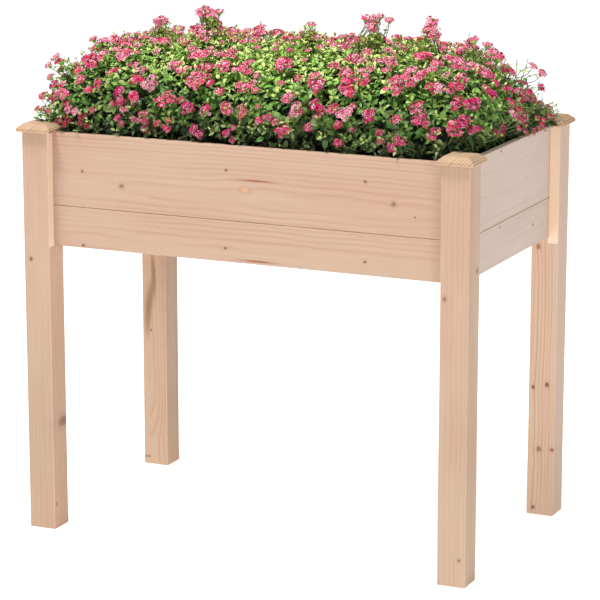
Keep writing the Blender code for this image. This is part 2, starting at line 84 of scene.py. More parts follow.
class Wiring:
    """Adds nodes to one shader tree and joins their sockets."""

    def __init__(self, tree: bpy.types.NodeTree) -> None:
        """Keeps the tree that the nodes go in."""
        self.tree = tree

    def add(self, kind: str, *values: Value, **settings: object) -> bpy.types.Node:
        """Adds a node, sets its options and feeds its first inputs.

        Args:
            kind: Blender's name for the node's type.
            values: What its first inputs take, in order.
            settings: Options of the node, by name.

        Returns:
            The new node.
        """
        node = self.tree.nodes.new(kind)
        for name, value in settings.items():
            setattr(node, name, value)
        for socket, value in zip(node.inputs, values):
            self.feed(socket, value)
        return node

    def feed(self, socket: bpy.types.NodeSocket, value: Value) -> None:
        """Links another socket to this one, or sets it to a constant."""
        if isinstance(value, bpy.types.NodeSocket):
            self.tree.links.new(value, socket)
        else:
            socket.default_value = value

    def math(self, operation: str, *values: Value) -> bpy.types.NodeSocket:
        """The result of a math node on sockets or numbers."""
        return self.add("ShaderNodeMath", *values, operation=operation).outputs[0]

    def times(self, first: Value, second: Value) -> bpy.types.NodeSocket:
        """The product of two numbers."""
        return self.math("MULTIPLY", first, second)

    def vector(self, operation: str, *values: Value) -> bpy.types.NodeSocket:
        """The result of a vector math node: a number for a length, or else a vector."""
        node = self.add("ShaderNodeVectorMath", *values, operation=operation)
        return node.outputs["Value" if operation == "LENGTH" else "Vector"]

    def split(self, vector: Value) -> list[bpy.types.NodeSocket]:
        """The three parts of a vector."""
        return list(self.add("ShaderNodeSeparateXYZ", vector).outputs)

    def join(self, *parts: Value) -> bpy.types.NodeSocket:
        """A vector made of three parts."""
        return self.add("ShaderNodeCombineXYZ", *parts).outputs[0]

    def blend(self, share: Value, first: Value, second: Value, mode: str = "MIX") -> bpy.types.NodeSocket:
        """Mixes two colours.

        Args:
            share: How much of the second colour shows, from 0 to 1.
            first: The colour at 0.
            second: The colour at 1.
            mode: Blender's name for the way the colours mix.

        Returns:
            The mixed colour.
        """
        node = self.add("ShaderNodeMix", data_type="RGBA", blend_type=mode, clamp_factor=True)
        self.feed(node.inputs["Factor"], share)
        colours = [socket for socket in node.inputs if socket.type == "RGBA"]
        self.feed(colours[0], first)
        self.feed(colours[1], second)
        return next(socket for socket in node.outputs if socket.type == "RGBA")

    def ease(self, value: Value, low: Value, high: Value) -> bpy.types.NodeSocket:
        """A soft step from 0 to 1 as a value goes from low to high."""
        step = self.add("ShaderNodeMapRange", value, low, high, interpolation_type="SMOOTHSTEP")
        return step.outputs["Result"]

    def noise(self, vector: Value, scale: float, detail: float = 2.0,
              hued: bool = False) -> bpy.types.NodeSocket:
        """Cloudy noise, with values round 0.5.

        Args:
            vector: Where it is read.
            scale: Clouds in a metre.
            detail: How many finer layers are added.
            hued: Gives three separate noises instead of one.

        Returns:
            The noise.
        """
        node = self.add("ShaderNodeTexNoise", vector)
        node.inputs["Scale"].default_value = scale
        node.inputs["Detail"].default_value = detail
        return node.outputs["Color" if hued else "Fac"]

    def attribute(self, name: str) -> bpy.types.NodeSocket:
        """A number that the mesh holds at each point."""
        return self.add("ShaderNodeAttribute", attribute_name=name).outputs["Fac"]

    def place(self, group: bpy.types.NodeTree, **values: Value) -> bpy.types.Node:
        """Places a node group and feeds its inputs, named with _ for each blank."""
        node = self.add("ShaderNodeGroup", node_tree=group)
        for name, value in values.items():
            self.feed(node.inputs[name.replace("_", " ")], value)
        return node


class Group(Wiring):
    """A shader node group under construction, with its named inputs and outputs."""

    KINDS = {float: "NodeSocketFloat", tuple: "NodeSocketVector", str: "NodeSocketColor"}

    def __init__(self, name: str, inputs: dict[str, type], outputs: dict[str, type]) -> None:
        """Makes the group and its sockets: float is a number, tuple a vector, str a colour."""
        super().__init__(bpy.data.node_groups.new(name, "ShaderNodeTree"))
        for direction, sockets in (("INPUT", inputs), ("OUTPUT", outputs)):
            for label, kind in sockets.items():
                self.tree.interface.new_socket(name=label, in_out=direction, socket_type=self.KINDS[kind])
        self.given = self.add("NodeGroupInput").outputs
        self.result = self.add("NodeGroupOutput").inputs


class Coat(Wiring):
    """A material under construction, with its shader."""

    def __init__(self, name: str, specular: float = 0.5) -> None:
        """Makes the material, with its gloss on the shader's own socket."""
        self.material = bpy.data.materials.new(name)
        self.material.use_nodes = True
        super().__init__(self.material.node_tree)
        self.shader = self.tree.nodes["Principled BSDF"]
        self.shader.inputs["Specular IOR Level"].default_value = specular

    def spot(self) -> bpy.types.NodeSocket:
        """Places on the object, in metres."""
        return self.add("ShaderNodeTexCoord").outputs["Object"]

    def finish(self, colour: Value, roughness: Value, height: Value, relief: float) -> bpy.types.Material:
        """Feeds the shader.

        Args:
            colour: The colour over the surface.
            roughness: The roughness over the surface.
            height: A height map.
            relief: What a height of 1 stands for, in metres.

        Returns:
            The finished material.
        """
        bump = self.add("ShaderNodeBump")
        bump.inputs["Distance"].default_value = relief
        self.feed(bump.inputs["Height"], height)
        values = {"Base Color": colour, "Roughness": roughness, "Normal": bump.outputs["Normal"]}
        for name, value in values.items():
            self.feed(self.shader.inputs[name], value)
        return self.material


@dataclass(frozen=True)
class FirGrain:
    """Solid fir: growth rings round a pith line along X, their wander, and fine fibres."""

    slow_run: Triple = (1.0, 3.0, 3.0)
    drift_scale: float = 2.2
    calm_span: Pair = (0.05, 0.36)
    waver_cloud: Pair = (9.0, 3.0)
    waver: float = 0.9
    late_rise: Pair = (0.40, 0.88)
    late_fall: Pair = (1.0, 0.90)
    ring_strength: Pair = (0.75, 0.25)
    patch_cloud: Pair = (4.0, 1.0)
    patch_span: Pair = (0.34, 0.62)
    patch_strength: Pair = (0.7, 0.3)
    fibre_run: Triple = (0.03, 1.0, 1.0)
    fibre_cloud: Pair = (1500.0, 3.0)
    streak_run: Triple = (0.02, 1.0, 1.0)
    streak_cloud: Pair = (260.0, 3.0)
    blush_scale: float = 3.2
    blush_span: Pair = (0.35, 0.68)
    streak_shade: Pair = (0.16, 0.92)
    fibre_shade: Pair = (0.10, 0.95)
    fibre_height: float = 0.6
    line_height: float = 0.5

    def tree(self) -> bpy.types.NodeTree:
        """Builds the group."""
        group = Group(
            "fir_grain",
            {"Vector": tuple, "Pith": tuple, "Ring Width": float, "Ring Shift": float, "Wander": float,
             "Light": str, "Dark": str, "Blush": str, "Lines": float},
            {"Color": str, "Height": float},
        )
        given, spot = group.given, group.given["Vector"]
        slow = group.vector("MULTIPLY", spot, self.slow_run)
        drift = group.vector("SUBTRACT", group.noise(slow, self.drift_scale, hued=True), (0.5, 0.5, 0.5))
        sway = group.vector("MULTIPLY", drift, group.join(0.0, given["Wander"], given["Wander"]))
        across = group.vector("ADD", group.vector("SUBTRACT", spot, given["Pith"]), sway)
        across = group.vector("MULTIPLY", across, (0.0, 1.0, 1.0))
        radius = group.vector("LENGTH", across)
        _, second, third = group.split(group.vector("ABSOLUTE", across))
        steep = group.math("DIVIDE", group.math("MINIMUM", second, third), radius)
        calm = group.ease(steep, *self.calm_span)
        rings = group.math("ADD", group.math("DIVIDE", radius, given["Ring Width"]), given["Ring Shift"])
        rings = group.math("ADD", rings, group.times(group.noise(slow, *self.waver_cloud), self.waver))
        phase = group.math("FRACT", rings)
        late = group.times(group.ease(phase, *self.late_rise), group.ease(phase, *self.late_fall))
        number = group.add("ShaderNodeTexWhiteNoise", noise_dimensions="1D")
        group.feed(number.inputs["W"], group.math("FLOOR", rings))
        strength = group.math("MULTIPLY_ADD", number.outputs["Value"], *self.ring_strength)
        patch = group.ease(group.noise(slow, *self.patch_cloud), *self.patch_span)
        strength = group.times(strength, group.math("MULTIPLY_ADD", patch, *self.patch_strength))
        line = group.times(late, group.times(group.times(strength, calm), given["Lines"]))
        fine = group.noise(group.vector("MULTIPLY", spot, self.fibre_run), *self.fibre_cloud)
        streak = group.noise(group.vector("MULTIPLY", spot, self.streak_run), *self.streak_cloud)
        flushed = group.ease(group.noise(slow, self.blush_scale), *self.blush_span)
        colour = group.blend(line, group.blend(flushed, given["Light"], given["Blush"]), given["Dark"])
        shade = group.math("MULTIPLY_ADD", streak, *self.streak_shade)
        shade = group.times(shade, group.math("MULTIPLY_ADD", fine, *self.fibre_shade))
        colour = group.blend(1.0, colour, group.join(shade, shade, shade), "MULTIPLY")
        group.feed(group.result["Color"], colour)
        height = group.math("MULTIPLY_ADD", fine, self.fibre_height, group.times(line, self.line_height))
        group.feed(group.result["Height"], height)
        return group.tree


@dataclass(frozen=True)
class WoodMark:
    """A knot or streak: its spot, the stained ring round it, and how it bends the rings."""

    wobble_scale: float = 420.0
    wobble: Pair = (0.9, -0.45)
    bend_reach: float = 2.6
    spot_span: Pair = (1.15, 0.55)
    stain_span: Pair = (2.6, 0.7)

    def tree(self) -> bpy.types.NodeTree:
        """Builds the group."""
        group = Group(
            "wood_mark",
            {"Vector": tuple, "Centre": tuple, "Radius": float, "Stretch": float, "Bend": float},
            {"Spot": float, "Stain": float, "Shift": float},
        )
        given = group.given
        away = group.vector("SUBTRACT", given["Vector"], given["Centre"])
        squeeze = group.math("DIVIDE", 1.0, given["Stretch"])
        away = group.vector("MULTIPLY", away, group.join(squeeze, 1.0, 1.0))
        wobble = group.noise(given["Vector"], self.wobble_scale)
        wobble = group.math("MULTIPLY_ADD", wobble, *self.wobble)
        distance = group.math("DIVIDE", group.vector("LENGTH", away), given["Radius"])
        ragged = group.math("ADD", distance, wobble)
        spread = group.math("POWER", group.math("DIVIDE", distance, self.bend_reach), 2.0)
        group.feed(group.result["Spot"], group.ease(ragged, *self.spot_span))
        group.feed(group.result["Stain"], group.ease(ragged, *self.stain_span))
        fall = group.math("EXPONENT", group.times(spread, -1.0))
        group.feed(group.result["Shift"], group.times(fall, given["Bend"]))
        return group.tree


@dataclass(frozen=True)
class EasedEdge:
    """The edges of a box, where two of its faces are near: the band that takes a painted highlight on most
    pieces.
    """

    edge_play_cloud: Pair = (130.0, 3.0)
    edge_play: Pair = (1.6, 0.2)

    def tree(self) -> bpy.types.NodeTree:
        """Builds the group."""
        inputs = {"Vector": tuple, "Low": tuple, "High": tuple, "Width": float}
        group = Group("eased_edge", inputs, {"Mask": float})
        given = group.given
        below = group.vector("SUBTRACT", given["Vector"], given["Low"])
        above = group.vector("SUBTRACT", given["High"], given["Vector"])
        first, second, third = group.split(group.vector("MINIMUM", below, above))
        far = group.math("MAXIMUM", first, second)
        edge = group.math("MAXIMUM", group.math("MINIMUM", first, second), group.math("MINIMUM", far, third))
        rough = group.math("MULTIPLY_ADD", group.noise(given["Vector"], *self.edge_play_cloud), *self.edge_play)
        group.feed(group.result["Mask"], group.ease(edge, group.times(given["Width"], rough), 0.0))
        return group.tree


class BoxPatch:
    """The inside of a box that lies along the axes."""

    @staticmethod
    def tree() -> bpy.types.NodeTree:
        """Builds the group."""
        inputs = {"Vector": tuple, "Low": tuple, "High": tuple, "Soft": float}
        group = Group("box_patch", inputs, {"Mask": float})
        given = group.given
        below = group.vector("SUBTRACT", given["Low"], given["Vector"])
        above = group.vector("SUBTRACT", given["Vector"], given["High"])
        first, second, third = group.split(group.vector("MAXIMUM", below, above))
        past = group.math("MAXIMUM", first, group.math("MAXIMUM", second, third))
        group.feed(group.result["Mask"], group.ease(past, given["Soft"], group.times(given["Soft"], -1.0)))
        return group.tree


class Effects:
    """The shader node groups that several finishes share."""

    def __init__(self) -> None:
        """Builds each group once."""
        self.fir_grain = FirGrain().tree()
        self.wood_mark = WoodMark().tree()
        self.eased_edge = EasedEdge().tree()
        self.box_patch = BoxPatch.tree()


class GrainRun(Enum):
    """The way a piece's grain runs, as the order of axes that brings it to X."""

    LENGTHWAYS = (0, 1, 2)
    CROSSWAYS = (1, 0, 2)
    UPRIGHT = (2, 0, 1)

    def turn(self, point: Triple) -> Triple:
        """A point with the grain's axis first."""
        return tuple(point[axis] for axis in self.value)


class MarkKind(Enum):
    """What a mark in the wood is: its colour, how much it shows, the share of its stained ring and the
    rings' bend.
    """

    PIN = (tone(112, 74, 52), 0.85, 0.12, 0.15)
    KNOT = (tone(136, 98, 74), 0.80, 0.16, 0.35)
    STREAK = (tone(150, 78, 52), 0.90, 0.30, 0.05)
    RESIN = (tone(222, 172, 118), 0.45, 0.20, 0.05)
    SHADE = (tone(150, 114, 82), 0.60, 0.25, 0.00)
    SWIRL = (tone(180, 140, 108), 0.00, 0.00, 2.60)


@dataclass(frozen=True)
class Mark:
    """A knot, pin or resin streak in a piece of wood."""

    kind: MarkKind
    centre: Triple
    radius: float
    stretch: float = 1.2


@dataclass(frozen=True)
class PaintedLightPatch:
    """A box-shaped part of a piece of wood whose colour stands in for light: painted light where it is
    paler, painted shade where it is darker.
    """

    low: Triple
    high: Triple
    # The usual colour of such a box is pale: painted light.
    stain_and_painted_light: Shade = tone(238, 210, 184)
    share: float = 0.85


@dataclass(frozen=True)
class FirFinish:
    """Planed, unfinished fir: its tones, its rings and the marks in it, a band along its edges (a painted
    highlight on most pieces), a tint towards its foot, and boxed parts of painted light and shade.
    """

    run: GrainRun
    pith: Triple
    ring_width: float = 0.0062
    wander: float = 0.012
    light: Shade = tone(190, 163, 141)
    dark: Shade = tone(166, 124, 95)
    blush: Shade = tone(187, 154, 131)
    # The usual edge colour is pale: a painted highlight along the arrises.
    edge: Shade = tone(224, 194, 168)
    roughness: float = 0.58
    line_roughness: float = 0.12
    relief: float = 0.0002
    edge_width: float = 0.0016
    edge_share: float = 0.7
    painted_light_softness: float = 0.0010
    lines: float = 0.50
    foot: Triple = (1.0, 1.0, 1.0)
    foot_heights: Pair = (0.52, 0.16)
    marks: tuple[Mark, ...] = ()
    painted_light_patches: tuple[PaintedLightPatch, ...] = ()

    def material(self, name: str, effects: Effects) -> bpy.types.Material:
        """Builds the material of one piece of wood.

        Args:
            name: The CAD node that it goes on, whose box places its edges.
            effects: The shared node groups.

        Returns:
            The material.
        """
        low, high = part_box(name)
        coat = Coat(f"fir_{name}", specular=0.25)
        spot = coat.spot()
        parts = coat.split(spot)
        turned = coat.join(*(parts[axis] for axis in self.run.value))
        shift: Value = 0.0
        masks = []
        for mark in self.marks:
            node = coat.place(
                effects.wood_mark, Vector=turned, Centre=self.run.turn(mark.centre),
                Radius=mark.radius, Stretch=mark.stretch, Bend=mark.kind.value[3],
            )
            shift = coat.math("ADD", shift, node.outputs["Shift"])
            masks.append(node.outputs)
        grain = coat.place(
            effects.fir_grain, Vector=turned, Pith=self.run.turn(self.pith), Ring_Width=self.ring_width,
            Ring_Shift=shift, Wander=self.wander, Light=self.light, Dark=self.dark, Blush=self.blush,
            Lines=self.lines,
        )
        colour, height = grain.outputs["Color"], grain.outputs["Height"]
        for mark, mask in zip(self.marks, masks):
            stain_and_painted_light, shown, stained, _ = mark.kind.value
            colour = coat.blend(coat.times(mask["Stain"], stained), colour, stain_and_painted_light, "MULTIPLY")
            colour = coat.blend(coat.times(mask["Spot"], shown), colour, stain_and_painted_light)
        # The foot is tinted: darker on the front legs, lighter on the back ones; the back right leg's
        # lighter foot is painted light.
        colour = coat.blend(coat.ease(parts[2], *self.foot_heights), colour, (*self.foot, 1.0), "MULTIPLY")
        # Boxed parts made paler or darker: painted light and painted shade.
        for patch in self.painted_light_patches:
            inside = coat.place(
                effects.box_patch, Vector=spot, Low=patch.low, High=patch.high, Soft=self.painted_light_softness,
            )
            colour = coat.blend(coat.times(inside.outputs["Mask"], patch.share), colour, patch.stain_and_painted_light)
        # A band along the edges: a painted highlight in the usual colour, darker on the front and right
        # boards.
        edge = coat.place(effects.eased_edge, Vector=spot, Low=tuple(low), High=tuple(high),
                          Width=self.edge_width)
        colour = coat.blend(coat.times(edge.outputs["Mask"], self.edge_share), colour, self.edge)
        roughness = coat.math("MULTIPLY_ADD", height, self.line_roughness, self.roughness)
        return coat.finish(colour, roughness, height, self.relief)


@dataclass(frozen=True)
class SoilFinish:
    """Dark, crumbly potting soil with bits of bark in it."""

    dark: Shade = tone(38, 28, 22)
    damp: Shade = tone(62, 46, 34)
    bark: Shade = tone(104, 76, 52)
    drift_cloud: Pair = (90.0, 3.0)
    drift: Triple = (0.006, 0.006, 0.006)
    crumb_scale: float = 230.0
    tone_cloud: Pair = (60.0, 4.0)
    chip_run: Triple = (1.0, 2.2, 1.6)
    chip_cloud: Pair = (140.0, 1.0)
    chip_span: Pair = (0.68, 0.74)
    chip_roughness: Pair = (-0.2, 0.95)
    lump_cloud: Pair = (120.0, 6.0)
    relief: float = 0.003

    def material(self) -> bpy.types.Material:
        """Builds the material."""
        coat = Coat("potting_soil")
        spot = coat.spot()
        drift = coat.vector("MULTIPLY", coat.noise(spot, *self.drift_cloud, hued=True), self.drift)
        crumbs = coat.add("ShaderNodeTexVoronoi", coat.vector("ADD", spot, drift))
        crumbs.inputs["Scale"].default_value = self.crumb_scale
        colour = coat.blend(coat.noise(spot, *self.tone_cloud), self.dark, self.damp)
        chips = coat.noise(coat.vector("MULTIPLY", spot, self.chip_run), *self.chip_cloud)
        chips = coat.ease(chips, *self.chip_span)
        height = coat.math("SUBTRACT", coat.noise(spot, *self.lump_cloud), crumbs.outputs["Distance"])
        roughness = coat.math("MULTIPLY_ADD", chips, *self.chip_roughness)
        return coat.finish(coat.blend(chips, colour, self.bark), roughness, height, self.relief)


@dataclass(frozen=True)
class LeafFinish:
    """Small matt leaves: fresh green at the tips, with painted light high in the mound, painted shade inside
    the bush and low down, and paler veins.
    """

    old: Shade = tone(72, 134, 44)
    grown: Shade = tone(150, 204, 84)
    fresh: Shade = tone(226, 242, 144)
    shade: Shade = tone(12, 32, 12)
    vein: Shade = tone(206, 230, 136)
    specular: float = 0.45
    vein_slant: Pair = (7.0, 5.0)
    vein_span: Pair = (0.10, 0.02)
    side_veins: float = 0.6
    midrib_span: Pair = (0.050, 0.015)
    vein_share: float = 0.35
    vein_roughness: Pair = (0.15, 0.40)
    relief: float = 0.0004

    def material(self) -> bpy.types.Material:
        """Builds the material, which reads the leaves' UV map and the values at their points."""
        coat = Coat("leaf_green", self.specular)
        across, along, _ = coat.split(coat.add("ShaderNodeUVMap", uv_map="leaf").outputs["UV"])
        side = coat.math("ABSOLUTE", coat.math("SUBTRACT", across, 0.5))
        often, steep = self.vein_slant
        slant = coat.math("SUBTRACT", coat.times(along, often), coat.times(side, steep))
        wave = coat.math("ABSOLUTE", coat.math("SUBTRACT", coat.math("FRACT", slant), 0.5))
        veins = coat.times(coat.ease(wave, *self.vein_span), self.side_veins)
        veins = coat.math("MAXIMUM", coat.ease(side, *self.midrib_span), veins)
        age_and_painted_light = coat.attribute("tone")
        colour = coat.blend(coat.ease(age_and_painted_light, 0.0, 0.5), self.old, self.grown)
        colour = coat.blend(coat.ease(age_and_painted_light, 0.5, 1.0), colour, self.fresh)
        colour = coat.blend(coat.times(veins, self.vein_share), colour, self.vein)
        # Painted shade, by the share that the points hold.
        colour = coat.blend(coat.attribute("depth"), colour, self.shade)
        roughness = coat.math("MULTIPLY_ADD", veins, *self.vein_roughness)
        return coat.finish(colour, roughness, coat.math("SUBTRACT", 1.0, veins), self.relief)


@dataclass(frozen=True)
class StemFinish:
    """Stalks: green where they are young, brown and ridged at the foot."""

    young: Shade = tone(112, 142, 70)
    woody: Shade = tone(96, 74, 50)
    ridge_run: Triple = (1.0, 1.0, 0.2)
    ridge_cloud: Pair = (700.0, 3.0)
    ridge_share: float = 0.5
    ridge_roughness: Pair = (0.2, 0.6)
    relief: float = 0.0005

    def material(self) -> bpy.types.Material:
        """Builds the material."""
        coat = Coat("stem_bark")
        ridges = coat.noise(coat.vector("MULTIPLY", coat.spot(), self.ridge_run), *self.ridge_cloud)
        colour = coat.blend(coat.attribute("depth"), self.young, self.woody)
        colour = coat.blend(coat.times(ridges, self.ridge_share), colour, self.woody)
        roughness = coat.math("MULTIPLY_ADD", ridges, *self.ridge_roughness)
        return coat.finish(colour, roughness, ridges, self.relief)


@dataclass(frozen=True)
class HeartFinish:
    """The inside of a bush: a dark lump of painted shade that stands for packed old leaves."""

    dark: Shade = tone(8, 20, 9)
    dim: Shade = tone(30, 58, 26)
    leaf_scale: float = 95.0
    tone_cloud: Pair = (70.0, 3.0)
    dim_roughness: Pair = (0.1, 0.85)
    relief: float = 0.006

    def material(self) -> bpy.types.Material:
        """Builds the material."""
        coat = Coat("inner_leaves")
        spot = coat.spot()
        scales = coat.add("ShaderNodeTexVoronoi", spot)
        scales.inputs["Scale"].default_value = self.leaf_scale
        distance = scales.outputs["Distance"]
        share = coat.times(coat.noise(spot, *self.tone_cloud), distance)
        roughness = coat.math("MULTIPLY_ADD", share, *self.dim_roughness)
        return coat.finish(coat.blend(share, self.dark, self.dim), roughness, distance, self.relief)


@dataclass(frozen=True)
class PetalFinish:
    """Petals from salmon pink to magenta, pale at their tips, with a deep throat, specks of painted
    highlight on the tips and painted shade in spots and by the share that the points hold.
    """

    salmon: Shade = tone(250, 130, 166)
    hot: Shade = tone(236, 42, 104)
    magenta: Shade = tone(218, 14, 124)
    pale: Shade = tone(255, 240, 244)
    throat: Shade = tone(178, 8, 46)
    shade: Shade = tone(104, 4, 28)
    specular: float = 0.2
    patch_cloud: Pair = (330.0, 1.0)
    highlight_speck_span: Pair = (0.47, 0.57)
    highlight_speck: Pair = (0.95, 0.30)
    tip_span: Pair = (0.30, 0.90)
    patch_span: Pair = (0.47, 0.38)
    painted_shade_share: float = 0.45
    throat_span: Pair = (0.42, 0.05)
    throat_share: float = 0.8
    reach_roughness: Pair = (-0.1, 0.6)

    def material(self) -> bpy.types.Material:
        """Builds the material, which reads the values at the petals' points."""
        coat = Coat("petal_pink", self.specular)
        hue, reach, spot = coat.attribute("tone"), coat.attribute("reach"), coat.spot()
        colour = coat.blend(coat.ease(hue, 0.0, 0.5), self.salmon, self.hot)
        colour = coat.blend(coat.ease(hue, 0.5, 1.0), colour, self.magenta)
        painted_light_patches = coat.noise(spot, *self.patch_cloud)
        # Specks of painted highlight on the pale tips.
        highlight_speck = coat.math("MULTIPLY_ADD", coat.ease(painted_light_patches, *self.highlight_speck_span), *self.highlight_speck)
        tip = coat.times(coat.ease(reach, *self.tip_span), coat.attribute("paleness_and_glint"))
        colour = coat.blend(coat.times(tip, highlight_speck), colour, self.pale)
        # Spots of painted shade, merged with the throat's own dark red.
        deep = coat.times(coat.ease(painted_light_patches, *self.patch_span), self.painted_shade_share)
        throat = coat.times(coat.ease(reach, *self.throat_span), self.throat_share)
        deep = coat.math("MAXIMUM", deep, throat)
        colour = coat.blend(deep, colour, self.throat)
        # Painted shade, by the share that the points hold.
        colour = coat.blend(coat.attribute("depth"), colour, self.shade)
        roughness = coat.math("MULTIPLY_ADD", reach, *self.reach_roughness)
        return coat.finish(colour, roughness, coat.noise(spot, 1800.0), 0.0002)


@dataclass(frozen=True)
class Template:
    """One small shape, made once with bmesh and stamped many times."""

    points: np.ndarray
    faces: np.ndarray
    uvs: np.ndarray

    @staticmethod
    def taken_from(shape: bmesh.types.BMesh) -> "Template":
        """Reads a bmesh, whose points are also its UV map from above, and frees it.

        Args:
            shape: The finished shape.

        Returns:
            The template, in triangles.
        """
        bmesh.ops.triangulate(shape, faces=shape.faces[:])
        shape.verts.index_update()
        points = np.array([vert.co[:] for vert in shape.verts], dtype=np.float64)
        faces = np.array([[vert.index for vert in face.verts] for face in shape.faces], dtype=np.int64)
        layer = shape.verts.layers.float_vector.get("uv")
        uvs = [(vert.co if layer is None else vert[layer])[:2] for vert in shape.verts]
        shape.free()
        return Template(points, faces, np.array(uvs, dtype=np.float64))


class Heap:
    """Stamps of small shapes, gathered into one mesh with values at its points."""

    # The depth value holds painted shade on leaves and flowers and woodiness on stalks; the last one holds
    # pale tips with painted glints.
    VALUES = ("tone", "depth", "reach", "paleness_and_glint")

    def __init__(self) -> None:
        """Starts empty."""
        self.points: list[np.ndarray] = []
        self.faces: list[np.ndarray] = []
        self.uvs: list[np.ndarray] = []
        self.slots: list[np.ndarray] = []
        self.values: dict[str, list[np.ndarray]] = {name: [] for name in self.VALUES}
        self.count = 0

    def add(self, template: Template, points: np.ndarray, slot: int, **values: np.ndarray) -> None:
        """Adds copies of a template whose points are already placed.

        Args:
            template: The shape that gives the faces and UV map.
            points: Places of its points, as copies by points by 3.
            slot: The index of the material.
            values: Numbers by name, one for each copy, or one for each point of each copy.
        """
        copies, size = points.shape[:2]
        starts = self.count + np.arange(copies)[:, None, None] * size
        self.points.append(points.reshape(-1, 3))
        self.faces.append((template.faces[None] + starts).reshape(-1, 3))
        self.uvs.append(np.tile(template.uvs, (copies, 1)))
        self.slots.append(np.full(copies * len(template.faces), slot))
        for name in self.VALUES:
            given = np.asarray(values.get(name, 0.0), dtype=np.float64)
            given = given[:, None] if given.ndim == 1 else given
            self.values[name].append(np.broadcast_to(given, (copies, size)).reshape(-1))
        self.count += copies * size

    def build(self, name: str, materials: tuple[bpy.types.Material, ...],
              limits: "Walls") -> bpy.types.Object:
        """Makes the mesh object.

        Args:
            name: The piece's name.
            materials: Its materials, by slot index.
            limits: What keeps its points clear of the box.

        Returns:
            The object, with its place in its mesh.
        """
        points = limits.clear(np.concatenate(self.points))
        faces = np.concatenate(self.faces)
        mesh = bpy.data.meshes.new(name)
        mesh.vertices.add(len(points))
        mesh.vertices.foreach_set("co", points.astype(np.float32).ravel())
        mesh.loops.add(len(faces) * 3)
        mesh.loops.foreach_set("vertex_index", faces.astype(np.int32).ravel())
        mesh.polygons.add(len(faces))
        mesh.polygons.foreach_set("loop_start", np.arange(len(faces), dtype=np.int32) * 3)
        mesh.polygons.foreach_set("material_index", np.concatenate(self.slots).astype(np.int32))
        layer = mesh.uv_layers.new(name="leaf")
        layer.uv.foreach_set("vector", np.concatenate(self.uvs)[faces.ravel()].astype(np.float32).ravel())
        for label in self.VALUES:
            attribute = mesh.attributes.new(label, "FLOAT", "POINT")
            attribute.data.foreach_set("value", np.concatenate(self.values[label]).astype(np.float32))
        mesh.update(calc_edges=True)
        mesh.validate()
        mesh.shade_smooth()
        for material in materials:
            mesh.materials.append(material)
        piece = bpy.data.objects.new(name, mesh)
        bpy.context.scene.collection.objects.link(piece)
        return piece


GOLDEN_ANGLE = math.pi * (3 - math.sqrt(5))
Found = TypeVar("Found")
Sway = tuple[float, float | Pair]


def unit(vectors: np.ndarray) -> np.ndarray:
    """Rows scaled to length 1."""
    return vectors / np.maximum(np.linalg.norm(vectors, axis=-1, keepdims=True), 1e-9)


def clamp(value: float, most: float = 1.0) -> float:
    """A value kept between 0 and the most that it may be."""
    return min(most, max(0.0, value))


def crosswise(axis: Vector) -> Vector:
    """A direction that isn't near an axis."""
    return Vector((1.0, 0.0, 0.0)) if abs(axis.x) < 0.8 else Vector((0.0, 1.0, 0.0))


def either_way(draw: random.Random, reach: float) -> float:
    """A random number between a reach below zero and the same above."""
    return draw.uniform(-reach, reach)


def stepped(value: float, steps: tuple[tuple[float, Found], ...]) -> Found:
    """What belongs to the first step, from the top down, that a value is over."""
    return next(found for above, found in steps if value > above)


def swayed(draw: random.Random, aside: float, up: float | Pair) -> Vector:
    """A random push to the sides, with a given rise or one drawn between two limits."""
    x, y = either_way(draw, aside), either_way(draw, aside)
    return Vector((x, y, draw.uniform(*up) if isinstance(up, tuple) else up))


def stamp(template: Template, places: np.ndarray, headings: np.ndarray, faces_to: np.ndarray,
          sizes: np.ndarray) -> np.ndarray:
    """Places copies of a template, with its Y along the heading and its Z towards faces_to.

    Args:
        template: The shape, one unit long.
        places: Where its origin goes, by copy.
        headings: Directions of its Y axis.
        faces_to: Directions that its Z axis leans to.
        sizes: Scales along X, Y and Z, by copy.

    Returns:
        Points as copies by points by 3.
    """
    along = unit(headings)
    side = unit(np.cross(along, faces_to))
    up = np.cross(side, along)
    scaled = template.points[None] * sizes[:, None, :]
    turned = scaled[..., 0:1] * side[:, None] + scaled[..., 1:2] * along[:, None]
    return turned + scaled[..., 2:3] * up[:, None] + places[:, None]


def bend_tube(template: Template, starts: np.ndarray, bends: np.ndarray, ends: np.ndarray,
              radii: np.ndarray) -> np.ndarray:
    """Places copies of an upright unit tube along curves.

    Args:
        template: The tube, of radius 1 and with Z from 0 to 1.
        starts: The curves' first points.
        bends: The points that they bend towards.
        ends: The curves' last points.
        radii: Radius at the start and at the end, by copy.

    Returns:
        Points as copies by points by 3.
    """
    share = template.points[None, :, 2:3]
    line = (1 - share) ** 2 * starts[:, None] + 2 * share * (1 - share) * bends[:, None]
    line = line + share ** 2 * ends[:, None]
    axis = unit(ends - starts)
    helper = np.where(np.abs(axis[:, 0:1]) < 0.8, [[1.0, 0.0, 0.0]], [[0.0, 1.0, 0.0]])
    first = unit(np.cross(axis, helper))
    second = np.cross(axis, first)
    radius = radii[:, None, 0:1] * (1 - share) + radii[:, None, 1:2] * share
    ring = template.points[None, :, 0:1] * first[:, None] + template.points[None, :, 1:2] * second[:, None]
    return line + ring * radius


